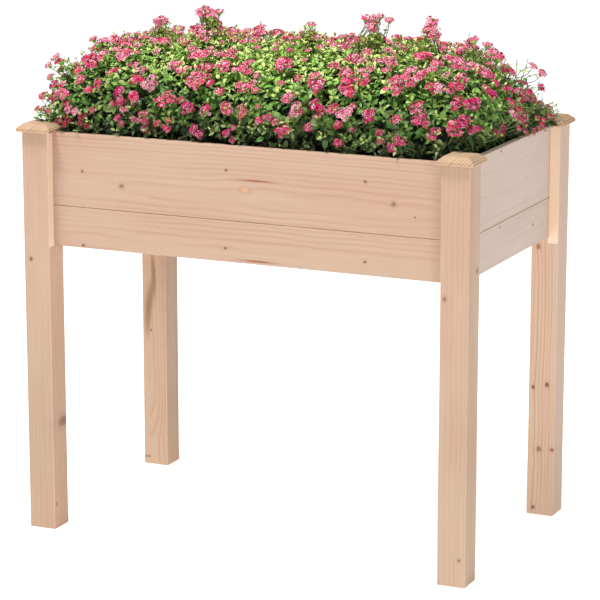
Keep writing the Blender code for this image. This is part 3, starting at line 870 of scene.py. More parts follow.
@dataclass(frozen=True)
class LeafShape:
    """A pointed oval leaf, folded along its rib and arched, with a toothed edge and a short stalk."""

    ratio: float = 0.66
    fold: float = 0.20
    arch: float = 0.22
    tooth: float = 0.10
    rows: tuple[float, ...] = (0.0, 0.14, 0.26, 0.40, 0.54, 0.68, 0.82, 1.0)
    roundness: float = 1.0

    def half_width(self, along: float) -> float:
        """Half the leaf's width at a share of its length."""
        stalk = self.rows[1]
        if along <= stalk:
            return 0.02
        share = (along - stalk) / (1.0 - stalk)
        return 0.5 * self.ratio * 1.55 * share ** (0.55 / self.roundness) * (1.0 - share) ** 0.8

    def template(self) -> Template:
        """Shapes a grid into the leaf, one unit long along Y."""
        shape = bmesh.new()
        rows = len(self.rows) - 1
        bmesh.ops.create_grid(shape, x_segments=2, y_segments=rows, size=1.0)
        layer = shape.verts.layers.float_vector.new("uv")
        for vert in shape.verts:
            side = round(vert.co.x)
            rank = round((vert.co.y + 1.0) / 2.0 * rows)
            along = self.rows[rank]
            width = self.half_width(along)
            if 1 < rank < rows:
                width *= 1.0 + self.tooth * (1 if rank % 2 else -1)
            droop = self.arch * along * along
            vert.co = (side * width, along - 0.15 * droop, abs(side) * width * 2 * self.fold - droop)
            vert[layer] = (0.5 + 0.5 * side, along, 0.0)
        bmesh.ops.remove_doubles(shape, verts=shape.verts[:], dist=0.005)
        bmesh.ops.recalc_face_normals(shape, faces=shape.faces[:])
        if sum(face.normal.z for face in shape.faces) < 0:
            bmesh.ops.reverse_faces(shape, faces=shape.faces[:])
        return Template.taken_from(shape)


@dataclass(frozen=True)
class FloretShape:
    """A small flower of five rounded lobes round a throat, on a short tube."""

    lobes: int = 5
    notch: float = 0.58
    dish: float = 0.16
    tube: float = 0.9
    tube_width: float = 0.16

    def template(self) -> Template:
        """Shapes a disc into the lobes and extrudes the tube; radius 1, Y is the flower's axis."""
        shape = bmesh.new()
        corners = 3 * self.lobes
        bmesh.ops.create_circle(shape, cap_ends=True, cap_tris=True, segments=corners, radius=1.0)
        layer = shape.verts.layers.float_vector.new("uv")
        for vert in shape.verts:
            reach = vert.co.length
            if reach < 0.5:
                vert.co.z = -0.25
            else:
                rank = round(math.atan2(vert.co.y, vert.co.x) / math.tau * corners) % corners
                out = self.notch if rank % 3 == 0 else 1.0
                vert.co = Vector((vert.co.x * out, vert.co.y * out, self.dish * (out - self.notch)))
                reach = out
            vert[layer] = (reach, 0.0, 0.0)
        place = Matrix.Translation((0.0, 0.0, -0.25 - self.tube / 2))
        made = bmesh.ops.create_cone(
            shape, cap_ends=False, segments=4, radius1=self.tube_width * 0.6, radius2=self.tube_width,
            depth=self.tube, matrix=place,
        )
        for vert in made["verts"]:
            vert[layer] = (0.0, 0.0, 0.0)
        bmesh.ops.rotate(shape, verts=shape.verts[:], matrix=Matrix.Rotation(-math.pi / 2, 3, "X"))
        return Template.taken_from(shape)


def tube_template(sides: int, lengths: int) -> Template:
    """An upright tube of radius 1 and height 1, in short lengths so that it can bend."""
    shape = bmesh.new()
    place = Matrix.Translation((0.0, 0.0, 0.5))
    bmesh.ops.create_cone(
        shape, cap_ends=True, segments=sides, radius1=1.0, radius2=1.0, depth=1.0, matrix=place,
    )
    for step in range(1, lengths):
        bmesh.ops.bisect_plane(
            shape, geom=shape.verts[:] + shape.edges[:] + shape.faces[:],
            plane_co=(0.0, 0.0, step / lengths), plane_no=(0.0, 0.0, 1.0),
        )
    return Template.taken_from(shape)


def cup_template() -> Template:
    """The green cup under a flower head: a low cone of radius 1 that opens along Y."""
    shape = bmesh.new()
    bmesh.ops.create_cone(shape, cap_ends=True, segments=8, radius1=0.16, radius2=1.0, depth=0.8)
    bmesh.ops.rotate(shape, verts=shape.verts[:], matrix=Matrix.Rotation(-math.pi / 2, 3, "X"))
    return Template.taken_from(shape)


@dataclass(frozen=True)
class Walls:
    """The box's inner walls, rims and caps, read from the frame, which the planting keeps clear of."""

    rim: float
    inner_x: float
    inner_y: float
    cap_inner_x: float
    cap_inner_y: float
    cap_top: float
    outer_x: float
    room: float = 0.0010
    soil_below_rim: float = 0.025

    @property
    def soil_top(self) -> float:
        """Height of the soil."""
        return round(self.rim - self.soil_below_rim, 4)

    @staticmethod
    def from_frame() -> "Walls":
        """Reads the sizes from the solids, to a tenth of a millimetre."""
        def at(node: str, corner: int, axis: int) -> float:
            """One coordinate of a node's low (0) or high (1) corner."""
            return round(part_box(node)[corner][axis], 4)

        return Walls(
            rim=at("leg_front_right", 1, 2),
            inner_x=at("board_right_upper", 0, 0),
            inner_y=at("board_back_upper", 0, 1),
            cap_inner_x=at("cap_back_right", 0, 0),
            cap_inner_y=at("cap_back_right", 0, 1),
            cap_top=at("cap_back_right", 1, 2),
            outer_x=at("cap_back_right", 1, 0),
        )

    def clear(self, points: np.ndarray) -> np.ndarray:
        """Moves points that lie in the walls, legs or caps to the nearest free place.

        Args:
            points: Places, by row.

        Returns:
            The places, moved where needed.
        """
        x, y, z = points.T.copy()
        room = self.room
        past = np.maximum(np.abs(x) - self.inner_x, np.abs(y) - self.inner_y) + room
        under = self.rim + room - z
        in_wall = (past > 0) & (under > 0)
        up = in_wall & (under < past)
        z = np.where(up, self.rim + room, z)
        x = np.where(in_wall & ~up, np.clip(x, -self.inner_x + room, self.inner_x - room), x)
        y = np.where(in_wall & ~up, np.clip(y, -self.inner_y + room, self.inner_y - room), y)
        past = np.minimum(np.abs(x) - self.cap_inner_x, np.abs(y) - self.cap_inner_y) + room
        under = self.cap_top + room - z
        in_post = (past > 0) & (under > 0)
        up = in_post & (under < past)
        z = np.where(up, self.cap_top + room, z)
        x = np.where(in_post & ~up, np.sign(x) * (self.cap_inner_x - room), x)
        return np.stack((x, y, z), axis=1)


@dataclass(frozen=True)
class Crown:
    """The outline that the planting fills: a broad mound with risen shoots, as its solids have."""

    walls: Walls
    height: float = 0.162
    fall: float = 0.022
    edge_x: float = 0.130
    edge_y: float = 0.170
    shoot_width: float = 0.022
    over_ends: float = 0.012
    over_boards: float = 0.016
    end_margin: float = 0.0015
    sag_depth: float = 0.030
    sag_from: Pair = (0.325, -0.050)
    sag_over: Pair = (0.050, 0.080)
    glade_place: Triple = (0.020, -0.090, 0.895)
    glade_reach: float = 0.110
    shoots: tuple[Triple, ...] = (
        (-0.398, -0.168, 0.030), (-0.345, -0.060, 0.012), (-0.268, -0.020, 0.036), (-0.172, -0.014, 0.052),
        (-0.085, 0.020, 0.020), (0.018, 0.014, 0.030), (0.100, 0.010, 0.014), (0.155, -0.014, 0.052),
        (0.262, -0.022, 0.046), (0.335, -0.010, 0.036), (0.398, 0.060, 0.022), (0.399, 0.120, 0.026),
        (0.415, 0.190, 0.014),
    )

    @property
    def reach_x(self) -> float:
        """How far the planting reaches to the ends."""
        return self.walls.outer_x - self.end_margin

    @property
    def reach_y(self) -> float:
        """How far the planting reaches to the front and back."""
        return self.walls.inner_y + self.over_boards

    def at(self, x: float, y: float) -> float:
        """Height of the foliage over the floor at a place."""
        ends = clamp((self.reach_x + self.over_ends - abs(x)) / self.edge_x)
        fronts = clamp((self.reach_y - abs(y)) / self.edge_y)
        round_off = math.sqrt(1 - (1 - ends) ** 2) * math.sqrt(1 - (1 - fronts) ** 2)
        height = (self.height - self.fall * (x / self.reach_x) ** 4) * round_off
        return self.walls.rim + height + self.risen(x, y) * min(1.0, 3 * round_off)

    def risen(self, x: float, y: float) -> float:
        """How far the risen shoots lift the foliage at a place."""
        lift = 0.0
        for shoot_x, shoot_y, rise in self.shoots:
            away = ((x - shoot_x) ** 2 + (y - shoot_y) ** 2) / self.shoot_width ** 2
            lift += rise * math.exp(-away)
        return lift

    def sag(self, x: float, y: float) -> float:
        """How far the leaves hang below the solids' outline, which holds the loose sprays of one corner."""
        share = 1.0
        for place, start, over in zip((x, y), self.sag_from, self.sag_over):
            share *= clamp((place - start) / over)
        return (self.sag_depth + self.risen(x, y)) * share

    def glade(self, spot: Vector) -> float:
        """How far a place lies in the middle of the top, where leaves get painted light and heads are
        smaller, from 0 to 1.
        """
        away = (spot - Vector(self.glade_place)).length_squared / self.glade_reach ** 2
        return math.exp(-away)

    def gloom(self, spot: Vector) -> float:
        """How far a place lies in one of the front's hollows, where leaves are set back and take painted
        shade, from 0 to 1.
        """
        most = 0.0
        for x, y, z, reach in HOLLOWS:
            away = (spot - Vector((x, y, z))).length_squared / reach ** 2
            most = max(most, math.exp(-away * away))
        return most

    def normal(self, x: float, y: float, step: float = 0.004) -> Vector:
        """Outward direction of the foliage's surface."""
        slope_x = (self.at(x + step, y) - self.at(x - step, y)) / (2 * step)
        slope_y = (self.at(x, y + step) - self.at(x, y - step)) / (2 * step)
        return Vector((-slope_x, -slope_y, 1.0)).normalized()


# Hollows between the shoots of the front, where leaves are set back and darkened with painted shade: place
# and reach.
HOLLOWS = (
    (-0.170, -0.203, 0.844, 0.018), (-0.209, -0.210, 0.835, 0.013), (-0.197, -0.225, 0.808, 0.013),
    (-0.071, -0.224, 0.812, 0.018), (-0.233, -0.213, 0.831, 0.013), (-0.275, -0.238, 0.758, 0.018),
    (-0.129, -0.238, 0.763, 0.020), (0.022, -0.239, 0.756, 0.020), (0.324, -0.190, 0.854, 0.016),
    (0.371, -0.180, 0.851, 0.018), (0.258, -0.226, 0.807, 0.018), (0.224, -0.224, 0.809, 0.013),
    (0.327, -0.228, 0.800, 0.016), (0.440, -0.195, 0.784, 0.018), (0.185, -0.209, 0.836, 0.015),
    (0.117, -0.231, 0.794, 0.018), (0.327, -0.238, 0.764, 0.018), (-0.033, -0.237, 0.769, 0.015),
    (-0.083, -0.236, 0.773, 0.015), (0.092, -0.238, 0.757, 0.018), (0.174, -0.238, 0.763, 0.018),
    (0.395, -0.208, 0.815, 0.013), (-0.023, -0.231, 0.794, 0.013), (0.165, -0.232, 0.789, 0.015),
    (0.274, -0.204, 0.841, 0.013), (-0.171, -0.239, 0.750, 0.018),
)

Spot = tuple[Vector, Vector]


@dataclass(frozen=True)
class Sowing:
    """How places are strewn over the crown: how far in, how steep at most, and how often it is tried."""

    inset: float
    steepest: float
    tries: int
    late_spacing: float = 1.0
    to_rim: bool = False


# The order of places that the solids use, and a wider one that runs down the steep sides to the rim.
AS_THE_SOLIDS = Sowing(inset=0.012, steepest=0.2, tries=4000, late_spacing=0.8)
ALL_OVER = Sowing(inset=0.0, steepest=0.07, tries=9000, to_rim=True)


@dataclass
class Cell:
    """The space that one bush fills, and the middle that its stalks grow from."""

    number: int
    bounds: tuple[float, float, float, float]
    crown: Crown
    gap: float = 0.0012
    lean_over: float = 0.014
    middle_rise: float = 0.045
    core_inset: float = 0.046
    core_margin: float = 0.034
    core_lift: float = 0.004
    soil_lump: float = 0.004
    rim_room: float = 0.004
    cap_room: float = 0.006
    cap_view: float = 0.060
    cap_inset: float = 0.014
    board_view: float = 0.055
    near_half: float = 0.02

    def __post_init__(self) -> None:
        """Works out the cell's limits and its middle."""
        walls, half = self.crown.walls, self.gap / 2
        low_x, high_x, low_y, high_y = self.bounds
        self.inner = (low_x + half, high_x - half, low_y + half, high_y - half)
        self.outer = []
        limits = (-walls.inner_x, walls.inner_x, -walls.inner_y, walls.inner_y)
        for i, limit in enumerate(limits):
            lean = math.copysign(self.lean_over, -1 if i % 2 == 0 else 1)
            edge = math.copysign(self.crown.reach_x if i < 2 else self.crown.reach_y, limit)
            self.outer.append(edge if abs(self.bounds[i] - limit) < half else self.bounds[i] + lean)
        self.stem = ((low_x + high_x) / 2, (low_y + high_y) / 2)
        self.middle = Vector((*self.stem, walls.rim + self.middle_rise))

    def holds(self, x: float, y: float) -> bool:
        """Whether a place lies in the cell, or out beyond the wall next to it."""
        walls = self.crown.walls
        x = min(walls.inner_x - self.gap, max(self.gap - walls.inner_x, x))
        y = min(walls.inner_y - self.gap, max(self.gap - walls.inner_y, y))
        low_x, high_x, low_y, high_y = self.bounds
        return low_x <= x < high_x and low_y <= y < high_y

    def over_cap(self, spot: Vector) -> bool:
        """Whether a place is right over a cap that the foliage leaves in view."""
        walls = self.crown.walls
        past = min(spot.x - walls.cap_inner_x, -walls.cap_inner_y - spot.y) + self.cap_room
        far_out = spot.x < self.cap_inset - walls.outer_x and spot.z < walls.cap_top + self.cap_inset
        return far_out or (past > 0 and spot.z < walls.cap_top + self.cap_view)

    def over_board(self, spot: Vector) -> bool:
        """Whether a place is over the near half of the right board, whose edge stays in view."""
        walls = self.crown.walls
        past = spot.x - walls.inner_x + self.cap_room
        return past > 0 and spot.y < self.near_half and spot.z < walls.rim + self.board_view

    def shoot_tops(self) -> list[Spot]:
        """The tops of the risen shoots that stand in the cell."""
        low_x, high_x, low_y, high_y = self.inner
        tops = []
        for x, y, _ in self.crown.shoots:
            if low_x < x < high_x and low_y < y < high_y:
                tops.append((Vector((x, y, self.crown.at(x, y))), Vector((0.0, 0.0, 1.0))))
        return tops

    def strew(self, seed: int, count: int, spacing: float, places: list[Spot], sowing: Sowing) -> list[Spot]:
        """Adds places on the crown, evenly spread over its area.

        Args:
            seed: Start of the random draws, to which the cell's number is added.
            count: How many places to end with.
            spacing: The least distance between two places.
            places: Places to begin with.
            sowing: How they are strewn.

        Returns:
            Places with their outward directions.
        """
        draw = random.Random(seed + self.number)
        low_x, high_x, low_y, high_y = self.outer
        walls, inset = self.crown.walls, sowing.inset
        lowest = walls.rim + (self.rim_room if sowing.to_rim else inset)
        for tries in range(1, sowing.tries + 1):
            if len(places) >= count:
                break
            x = draw.uniform(low_x + inset, high_x - inset)
            y = draw.uniform(low_y + inset / 2, high_y - inset / 2)
            normal = self.crown.normal(x, y)
            if draw.random() > sowing.steepest / max(sowing.steepest, normal.z):
                continue
            spot = Vector((x, y, self.crown.at(x, y) - (self.crown.sag(x, y) if sowing.to_rim else 0.0)))
            if sowing.to_rim and self.over_board(spot):
                spot.x = walls.inner_x - self.cap_room
            if spot.z < lowest or (sowing.to_rim and self.over_cap(spot)):
                continue
            tight = spacing * (1.0 if tries < sowing.tries / 2 else sowing.late_spacing)
            if all((spot - other).length > tight for other, _ in places):
                places.append((spot, normal))
        return places

    def skirt(self, seed: int, count: int) -> list[Spot]:
        """Places on the bush's end, from under the crown's edge down to the wall's rim.

        Args:
            seed: Start of the random draws, to which the cell's number is added.
            count: How many places there are.

        Returns:
            Places with their outward directions; none for a bush inside the bed.
        """
        walls = self.crown.walls
        side = -1 if self.bounds[0] < -walls.inner_x + self.gap else 1
        if side == 1 and self.bounds[1] < walls.inner_x - self.gap:
            return []
        draw = random.Random(seed + self.number)
        low_y, high_y = max(self.outer[2], -walls.inner_y), min(self.outer[3], walls.inner_y)
        places = []
        for _ in range(count):
            y, share = draw.uniform(low_y, high_y), draw.random()
            edge, foot = self.crown.reach_x, walls.inner_x - self.cap_room
            if side == 1 and y < self.near_half:
                edge, foot = foot, foot - 0.8 * self.cap_room
            top, bottom = self.crown.at(edge, y), walls.rim + self.rim_room
            spot = Vector((side * (edge + (foot - edge) * share ** 0.5), y, top + (bottom - top) * share))
            if not self.over_cap(spot):
                places.append((spot, Vector((side * 0.9, 0.0, 0.3)).normalized()))
        return places

    def core_reach(self, direction: Vector, step: float = 0.002) -> float:
        """How far the bush's dark heart reaches from its middle in a direction."""
        low_x, high_x, low_y, high_y = self.inner
        walls = self.crown.walls
        end, front = walls.inner_x - self.core_margin, walls.inner_y - self.core_margin
        floor = walls.soil_top + self.soil_lump + self.core_lift
        distance = step
        while True:
            x, y, z = self.middle + direction * distance
            if not (low_x < x < high_x and low_y < y < high_y and z > floor):
                return distance - 2 * step
            if z > self.crown.at(x, y) - self.core_inset or abs(x) > end or abs(y) > front:
                return distance
            distance += step


class Gathering:
    """Small pieces of one bush, noted one by one before they are stamped."""

    def __init__(self) -> None:
        """Starts empty."""
        self.notes: list[tuple] = []

    def columns(self) -> list[np.ndarray]:
        """What was noted, by sort of value."""
        return [np.array(column) for column in zip(*self.notes)]


class Leafage(Gathering):
    """Leaves or flowers of one bush."""

    def add(self, place: Vector, heading: Vector, face_to: Vector, size: Triple, hue: float,
            depth: float) -> None:
        """Notes one leaf or flower.

        Args:
            place: Where it starts.
            heading: The way it points.
            face_to: The way its upper face looks.
            size: Scales across, along and up.
            hue: Its place between the finish's colours.
            depth: Its share of painted shade, from 0 to 1.
        """
        self.notes.append((place[:], heading[:], face_to[:], size, hue, depth))

    def stamp_on(self, heap: Heap, template: Template, slot: int, **values: np.ndarray) -> None:
        """Stamps everything noted onto a heap."""
        if self.notes:
            *placed, hues, depths = self.columns()
            heap.add(template, stamp(template, *placed), slot, tone=hues, depth=depths, **values)


class Stalks(Gathering):
    """Curved stalks of one bush."""

    def add(self, start: Vector, bend: Vector, end: Vector, radii: Pair, depth: float) -> None:
        """Notes one stalk by its curve, its radius at both ends and how woody it is."""
        self.notes.append((start[:], bend[:], end[:], radii, depth))

    def stamp_on(self, heap: Heap, template: Template, slot: int) -> None:
        """Stamps everything noted onto a heap."""
        if self.notes:
            *placed, depths = self.columns()
            heap.add(template, bend_tube(template, *placed), slot, depth=depths)


@dataclass(frozen=True)
class PlantParts:
    """The templates and finishes that every bush shares."""

    leaf: Template
    round_leaf: Template
    inner_leaf: Template
    floret: Template
    cup: Template
    twig: Template
    trunk: Template
    green: bpy.types.Material
    bark: bpy.types.Material
    heart: bpy.types.Material
    petal: bpy.types.Material

    @staticmethod
    def made() -> "PlantParts":
        """Builds the templates and finishes."""
        return PlantParts(
            leaf=LeafShape().template(),
            round_leaf=LeafShape(ratio=0.82, fold=0.12, arch=0.12, tooth=0.04, roundness=1.5).template(),
            inner_leaf=LeafShape(rows=(0.0, 0.14, 0.40, 0.70, 1.0), tooth=0.0).template(),
            floret=FloretShape().template(),
            cup=cup_template(),
            twig=tube_template(3, 3),
            trunk=tube_template(8, 3),
            green=LeafFinish().material(),
            bark=StemFinish().material(),
            heart=HeartFinish().material(),
            petal=PetalFinish().material(),
        )


class BloomKind(Enum):
    """The look of a flower head: its place between the petal colours, how pale its tips are, and its shade.
    """

    SALMON = (0.16, 0.18, 0.0)
    PINK = (0.36, 0.36, 0.0)
    HOT = (0.52, 0.10, 0.0)
    MAGENTA = (0.95, 0.12, 0.05)
    PALE = (0.15, 0.88, 0.0)
    CRIMSON = (0.48, 0.00, 0.50)


@dataclass(frozen=True)
class Flush:
    """Flower heads that stand close together at one place of the crown."""

    kind: BloomKind
    x: float
    y: float
    reach: float
    heads: int


@dataclass(frozen=True)
class Spray:
    """A long thin shoot that reaches out of the crown, with a flower head at its tip or leaves alone."""

    start: Triple
    tip: Triple
    kind: BloomKind | None


SALMON, PINK, HOT, MAGENTA, PALE, CRIMSON = BloomKind

# Where the flowers stand thickest along the front and over the top.
FLUSHES = tuple(Flush(*row) for row in (
    (HOT, -0.398, -0.222, 0.020, 5), (PINK, -0.368, -0.218, 0.012, 3), (PALE, -0.345, -0.232, 0.010, 2),
    (CRIMSON, -0.318, -0.237, 0.015, 6), (CRIMSON, -0.362, -0.237, 0.011, 3),
    (SALMON, -0.366, -0.081, 0.016, 4), (HOT, -0.335, -0.172, 0.026, 8), (HOT, -0.307, -0.102, 0.018, 5),
    (SALMON, -0.341, -0.005, 0.016, 4), (SALMON, -0.278, -0.146, 0.020, 6), (HOT, -0.290, -0.180, 0.012, 2),
    (PINK, -0.238, -0.180, 0.012, 2), (HOT, -0.228, -0.201, 0.009, 3), (PALE, -0.197, -0.207, 0.012, 5),
    (HOT, -0.304, -0.208, 0.007, 2), (MAGENTA, -0.259, -0.220, 0.013, 5), (HOT, -0.222, -0.218, 0.009, 3),
    (HOT, -0.160, -0.222, 0.013, 5), (PALE, -0.234, -0.231, 0.009, 2), (MAGENTA, -0.249, -0.236, 0.011, 4),
    (MAGENTA, -0.205, -0.236, 0.016, 4), (HOT, -0.160, -0.236, 0.013, 4),
    (SALMON, -0.257, -0.024, 0.014, 5), (SALMON, -0.225, -0.095, 0.026, 6),
    (SALMON, -0.158, -0.174, 0.018, 7), (PINK, -0.114, -0.187, 0.024, 11), (PINK, -0.072, -0.165, 0.012, 4),
    (SALMON, -0.168, -0.015, 0.016, 4), (SALMON, -0.178, -0.040, 0.018, 5), (HOT, -0.127, -0.139, 0.016, 5),
    (HOT, -0.067, -0.126, 0.013, 3), (SALMON, -0.138, 0.046, 0.020, 6), (SALMON, -0.089, 0.004, 0.016, 4),
    (PINK, -0.028, -0.165, 0.014, 4), (PINK, -0.020, -0.195, 0.018, 4), (MAGENTA, -0.120, -0.226, 0.011, 4),
    (SALMON, -0.038, -0.223, 0.009, 2), (PINK, -0.004, -0.225, 0.012, 3), (HOT, 0.031, -0.229, 0.009, 3),
    (PALE, 0.093, -0.222, 0.010, 3), (HOT, 0.066, -0.234, 0.016, 6), (MAGENTA, -0.092, -0.238, 0.014, 5),
    (MAGENTA, -0.030, -0.237, 0.016, 3), (HOT, 0.040, -0.152, 0.016, 5), (PALE, 0.069, -0.209, 0.010, 2),
    (SALMON, 0.101, -0.009, 0.022, 7), (SALMON, 0.164, -0.016, 0.018, 6), (HOT, 0.163, -0.115, 0.014, 4),
    (SALMON, 0.225, -0.122, 0.020, 6), (PINK, 0.182, -0.164, 0.018, 5), (HOT, 0.178, -0.190, 0.015, 8),
    (PINK, 0.262, -0.176, 0.022, 11), (PINK, 0.288, -0.158, 0.020, 8), (HOT, 0.276, -0.074, 0.016, 5),
    (SALMON, 0.260, -0.032, 0.018, 6), (PINK, 0.115, -0.185, 0.016, 5), (MAGENTA, 0.137, -0.220, 0.013, 4),
    (PALE, 0.189, -0.223, 0.012, 4), (MAGENTA, 0.228, -0.222, 0.008, 3), (MAGENTA, 0.312, -0.215, 0.017, 6),
    (HOT, 0.184, -0.237, 0.009, 3), (MAGENTA, 0.253, -0.234, 0.011, 2), (MAGENTA, 0.288, -0.237, 0.014, 5),
    (SALMON, 0.322, -0.018, 0.018, 7), (SALMON, 0.345, 0.075, 0.020, 3), (SALMON, 0.345, -0.075, 0.022, 7),
    (HOT, 0.372, -0.025, 0.018, 5), (HOT, 0.395, 0.014, 0.014, 4), (HOT, 0.365, -0.156, 0.011, 4),
    (PALE, 0.342, -0.173, 0.009, 2), (MAGENTA, 0.411, -0.089, 0.009, 3), (MAGENTA, 0.404, -0.160, 0.013, 5),
    (HOT, 0.379, -0.184, 0.012, 3), (MAGENTA, 0.350, -0.228, 0.013, 4), (MAGENTA, 0.412, -0.200, 0.014, 5),
    (PINK, 0.390, -0.222, 0.013, 4), (CRIMSON, 0.442, -0.120, 0.014, 5), (PALE, 0.440, -0.050, 0.012, 3),
    (PINK, 0.434, 0.026, 0.014, 5), (HOT, 0.440, 0.096, 0.014, 5), (HOT, 0.440, -0.010, 0.014, 3),
    (PALE, 0.411, 0.109, 0.009, 2),
))

# The long thin shoots: where each starts, where it ends, and what its tip bears.
SPRAYS = tuple(Spray(*row) for row in (
    ((-0.360, -0.160, 0.845), (-0.405, -0.170, 0.869), PALE),
    ((-0.365, -0.165, 0.838), (-0.417, -0.177, 0.854), PALE),
    ((-0.370, -0.170, 0.820), (-0.413, -0.180, 0.833), HOT),
    ((-0.370, -0.200, 0.790), (-0.411, -0.214, 0.804), HOT),
    ((-0.375, -0.210, 0.775), (-0.414, -0.228, 0.783), HOT),
    ((-0.350, -0.200, 0.790), (-0.366, -0.236, 0.766), CRIMSON),
    ((0.380, 0.100, 0.845), (0.411, 0.109, 0.865), PALE),
    ((0.385, 0.120, 0.835), (0.422, 0.125, 0.850), SALMON),
    ((0.385, 0.090, 0.815), (0.428, 0.102, 0.829), MAGENTA),
    ((0.390, 0.100, 0.780), (0.440, 0.120, 0.775), HOT),
    ((0.385, 0.050, 0.790), (0.431, 0.062, 0.757), HOT),
    ((0.385, 0.010, 0.790), (0.430, 0.020, 0.764), MAGENTA),
    ((-0.180, -0.016, 0.900), (-0.188, -0.020, 0.948), SALMON),
    ((0.165, -0.006, 0.900), (0.178, 0.000, 0.947), SALMON),
    ((-0.165, -0.005, 0.905), (-0.160, 0.000, 0.944), SALMON),
    ((0.345, -0.005, 0.885), (0.364, 0.000, 0.913), SALMON),
    ((0.350, -0.005, 0.880), (0.375, 0.000, 0.902), PINK),
    ((0.355, -0.005, 0.875), (0.385, 0.000, 0.895), HOT),
    ((0.385, 0.020, 0.855), (0.391, 0.020, 0.866), HOT),
    ((0.385, 0.030, 0.850), (0.398, 0.030, 0.864), HOT),
    ((0.390, 0.130, 0.780), (0.433, 0.150, 0.770), HOT),
    ((0.390, 0.120, 0.780), (0.424, 0.130, 0.774), CRIMSON),
    ((0.385, 0.130, 0.790), (0.426, 0.150, 0.787), HOT),
    ((0.390, 0.050, 0.770), (0.419, 0.050, 0.762), CRIMSON),
    ((0.390, 0.055, 0.765), (0.420, 0.060, 0.748), CRIMSON),
    ((0.390, 0.070, 0.770), (0.426, 0.080, 0.743), PINK),
    ((0.152, -0.008, 0.905), (0.160, 0.000, 0.953), SALMON),
    ((-0.365, -0.060, 0.865), (-0.394, -0.050, 0.887), SALMON),
    ((-0.355, -0.050, 0.865), (-0.380, -0.040, 0.883), PINK),
    ((-0.010, 0.005, 0.895), (-0.014, 0.000, 0.917), None),
    ((0.000, 0.010, 0.895), (0.002, 0.000, 0.922), None),
    ((0.008, 0.005, 0.895), (0.014, 0.000, 0.930), None),
    ((0.010, 0.005, 0.895), (0.024, 0.000, 0.927), None),
    ((0.030, -0.005, 0.895), (0.036, 0.000, 0.918), None),
))


@dataclass
class Bouquet:
    """The flower heads of one bush, collected before they are stamped."""

    rim: float
    height: float
    floret_counts: tuple[int, int] = (10, 15)
    floret_size: Pair = (0.27, 0.39)
    spread: Pair = (1.05, 1.50)
    raggedness: Pair = (0.80, 1.16)
    glint: float = 0.85
    glint_shares: tuple[Pair, ...] = ((0.8, 0.60), (-math.inf, 0.34))
    scales: tuple[Pair, ...] = ((0.75, 1.26), (0.35, 1.12), (-math.inf, 0.80))
    head_hue_play: float = 0.15
    floret_hue_play: float = 0.25
    pale_play: float = 0.3
    shade_play: Pair = (-0.12, 0.36)
    shade_under: float = 0.85
    shade_rate: float = 0.34
    most_shade: float = 0.7
    facing_sway: Sway = (0.3, (-0.3, 0.3))
    twist_sway: Sway = (1.0, (-1.0, 1.0))
    dome: tuple[float, float, float] = (0.92, 0.66, 0.05)
    cup_sizes: Pair = (0.72, 0.9)
    cup_drop: float = 0.15
    # The cups' place between the leaf colours and their share of painted shade.
    cup_tones: Pair = (0.55, 0.15)
    stalk_bend: float = 0.028
    stalk_end: float = 0.4
    stalk_radii: Pair = (0.0009, 0.0008)
    stalk_depth: float = 0.1
    florets: Leafage = field(default_factory=Leafage)
    cups: Leafage = field(default_factory=Leafage)
    stalks: Stalks = field(default_factory=Stalks)
    paleness_and_glint: list[float] = field(default_factory=list)

    def add(self, centre: Vector, axis: Vector, radius: float, kind: BloomKind, foot: Vector,
            draw: random.Random) -> None:
        """Sets one domed, ragged head with its cup and stalk: large near the top, with more glints of
        painted highlight there and more painted shade lower down.

        Args:
            centre: The head's middle.
            axis: The way the head looks.
            radius: Its usual radius at the rim.
            kind: Its colour.
            foot: Where its stalk comes from.
            draw: The head's random draws.
        """
        centre = Vector((centre.x, centre.y, max(centre.z, self.rim + radius)))
        first = axis.cross(crosswise(axis)).normalized()
        second = axis.cross(first)
        count = draw.randint(*self.floret_counts)
        start = draw.uniform(0.0, math.tau)
        hue, pale, shade = kind.value
        hue += either_way(draw, self.head_hue_play)
        lift = (centre.z - self.rim) / self.height
        radius *= stepped(lift, self.scales)
        # Painted shade, growing lower in the mound.
        shade = min(self.most_shade, shade + max(0.0, self.shade_rate * (self.shade_under - lift)))
        glinting = stepped(lift, self.glint_shares)
        wide, tall, sunk = self.dome
        for rank in range(count):
            fall = math.sqrt((rank + 0.5) / count) * draw.uniform(*self.spread)
            angle = start + rank * GOLDEN_ANGLE
            out = first * math.cos(angle) + second * math.sin(angle)
            facing = axis * math.cos(fall) + out * math.sin(fall) + swayed(draw, *self.facing_sway)
            dome = out * math.sin(fall) * radius * wide + axis * (math.cos(fall) * tall - sunk) * radius
            size = radius * draw.uniform(*self.floret_size)
            twist = swayed(draw, *self.twist_sway)
            own = clamp(hue + either_way(draw, self.floret_hue_play))
            place = centre + dome * draw.uniform(*self.raggedness)
            depth = shade + draw.uniform(*self.shade_play)
            self.florets.add(place, facing.normalized(), twist, (size, size, size), own, depth)
            # A glint is a painted highlight on a petal's tip.
            glint = self.glint if draw.random() < glinting else 0.0
            self.paleness_and_glint.append(clamp(pale + glint + either_way(draw, self.pale_play)))
        across, along = self.cup_sizes
        cup = (radius * across, radius * along, radius * across)
        self.cups.add(centre - axis * radius * self.cup_drop, axis, crosswise(axis), cup, *self.cup_tones)
        bend, end = centre - axis * self.stalk_bend, centre - axis * radius * self.stalk_end
        self.stalks.add(foot, bend, end, self.stalk_radii, self.stalk_depth)

    def stamp_on(self, heap: Heap, parts: "PlantParts") -> None:
        """Stamps the heads onto a heap whose materials are petal, green and bark."""
        reach = np.tile(parts.floret.uvs[:, 0], (len(self.paleness_and_glint), 1))
        self.florets.stamp_on(heap, parts.floret, 0, paleness_and_glint=np.array(self.paleness_and_glint), reach=reach)
        self.cups.stamp_on(heap, parts.cup, 1)
        self.stalks.stamp_on(heap, parts.twig, 2)


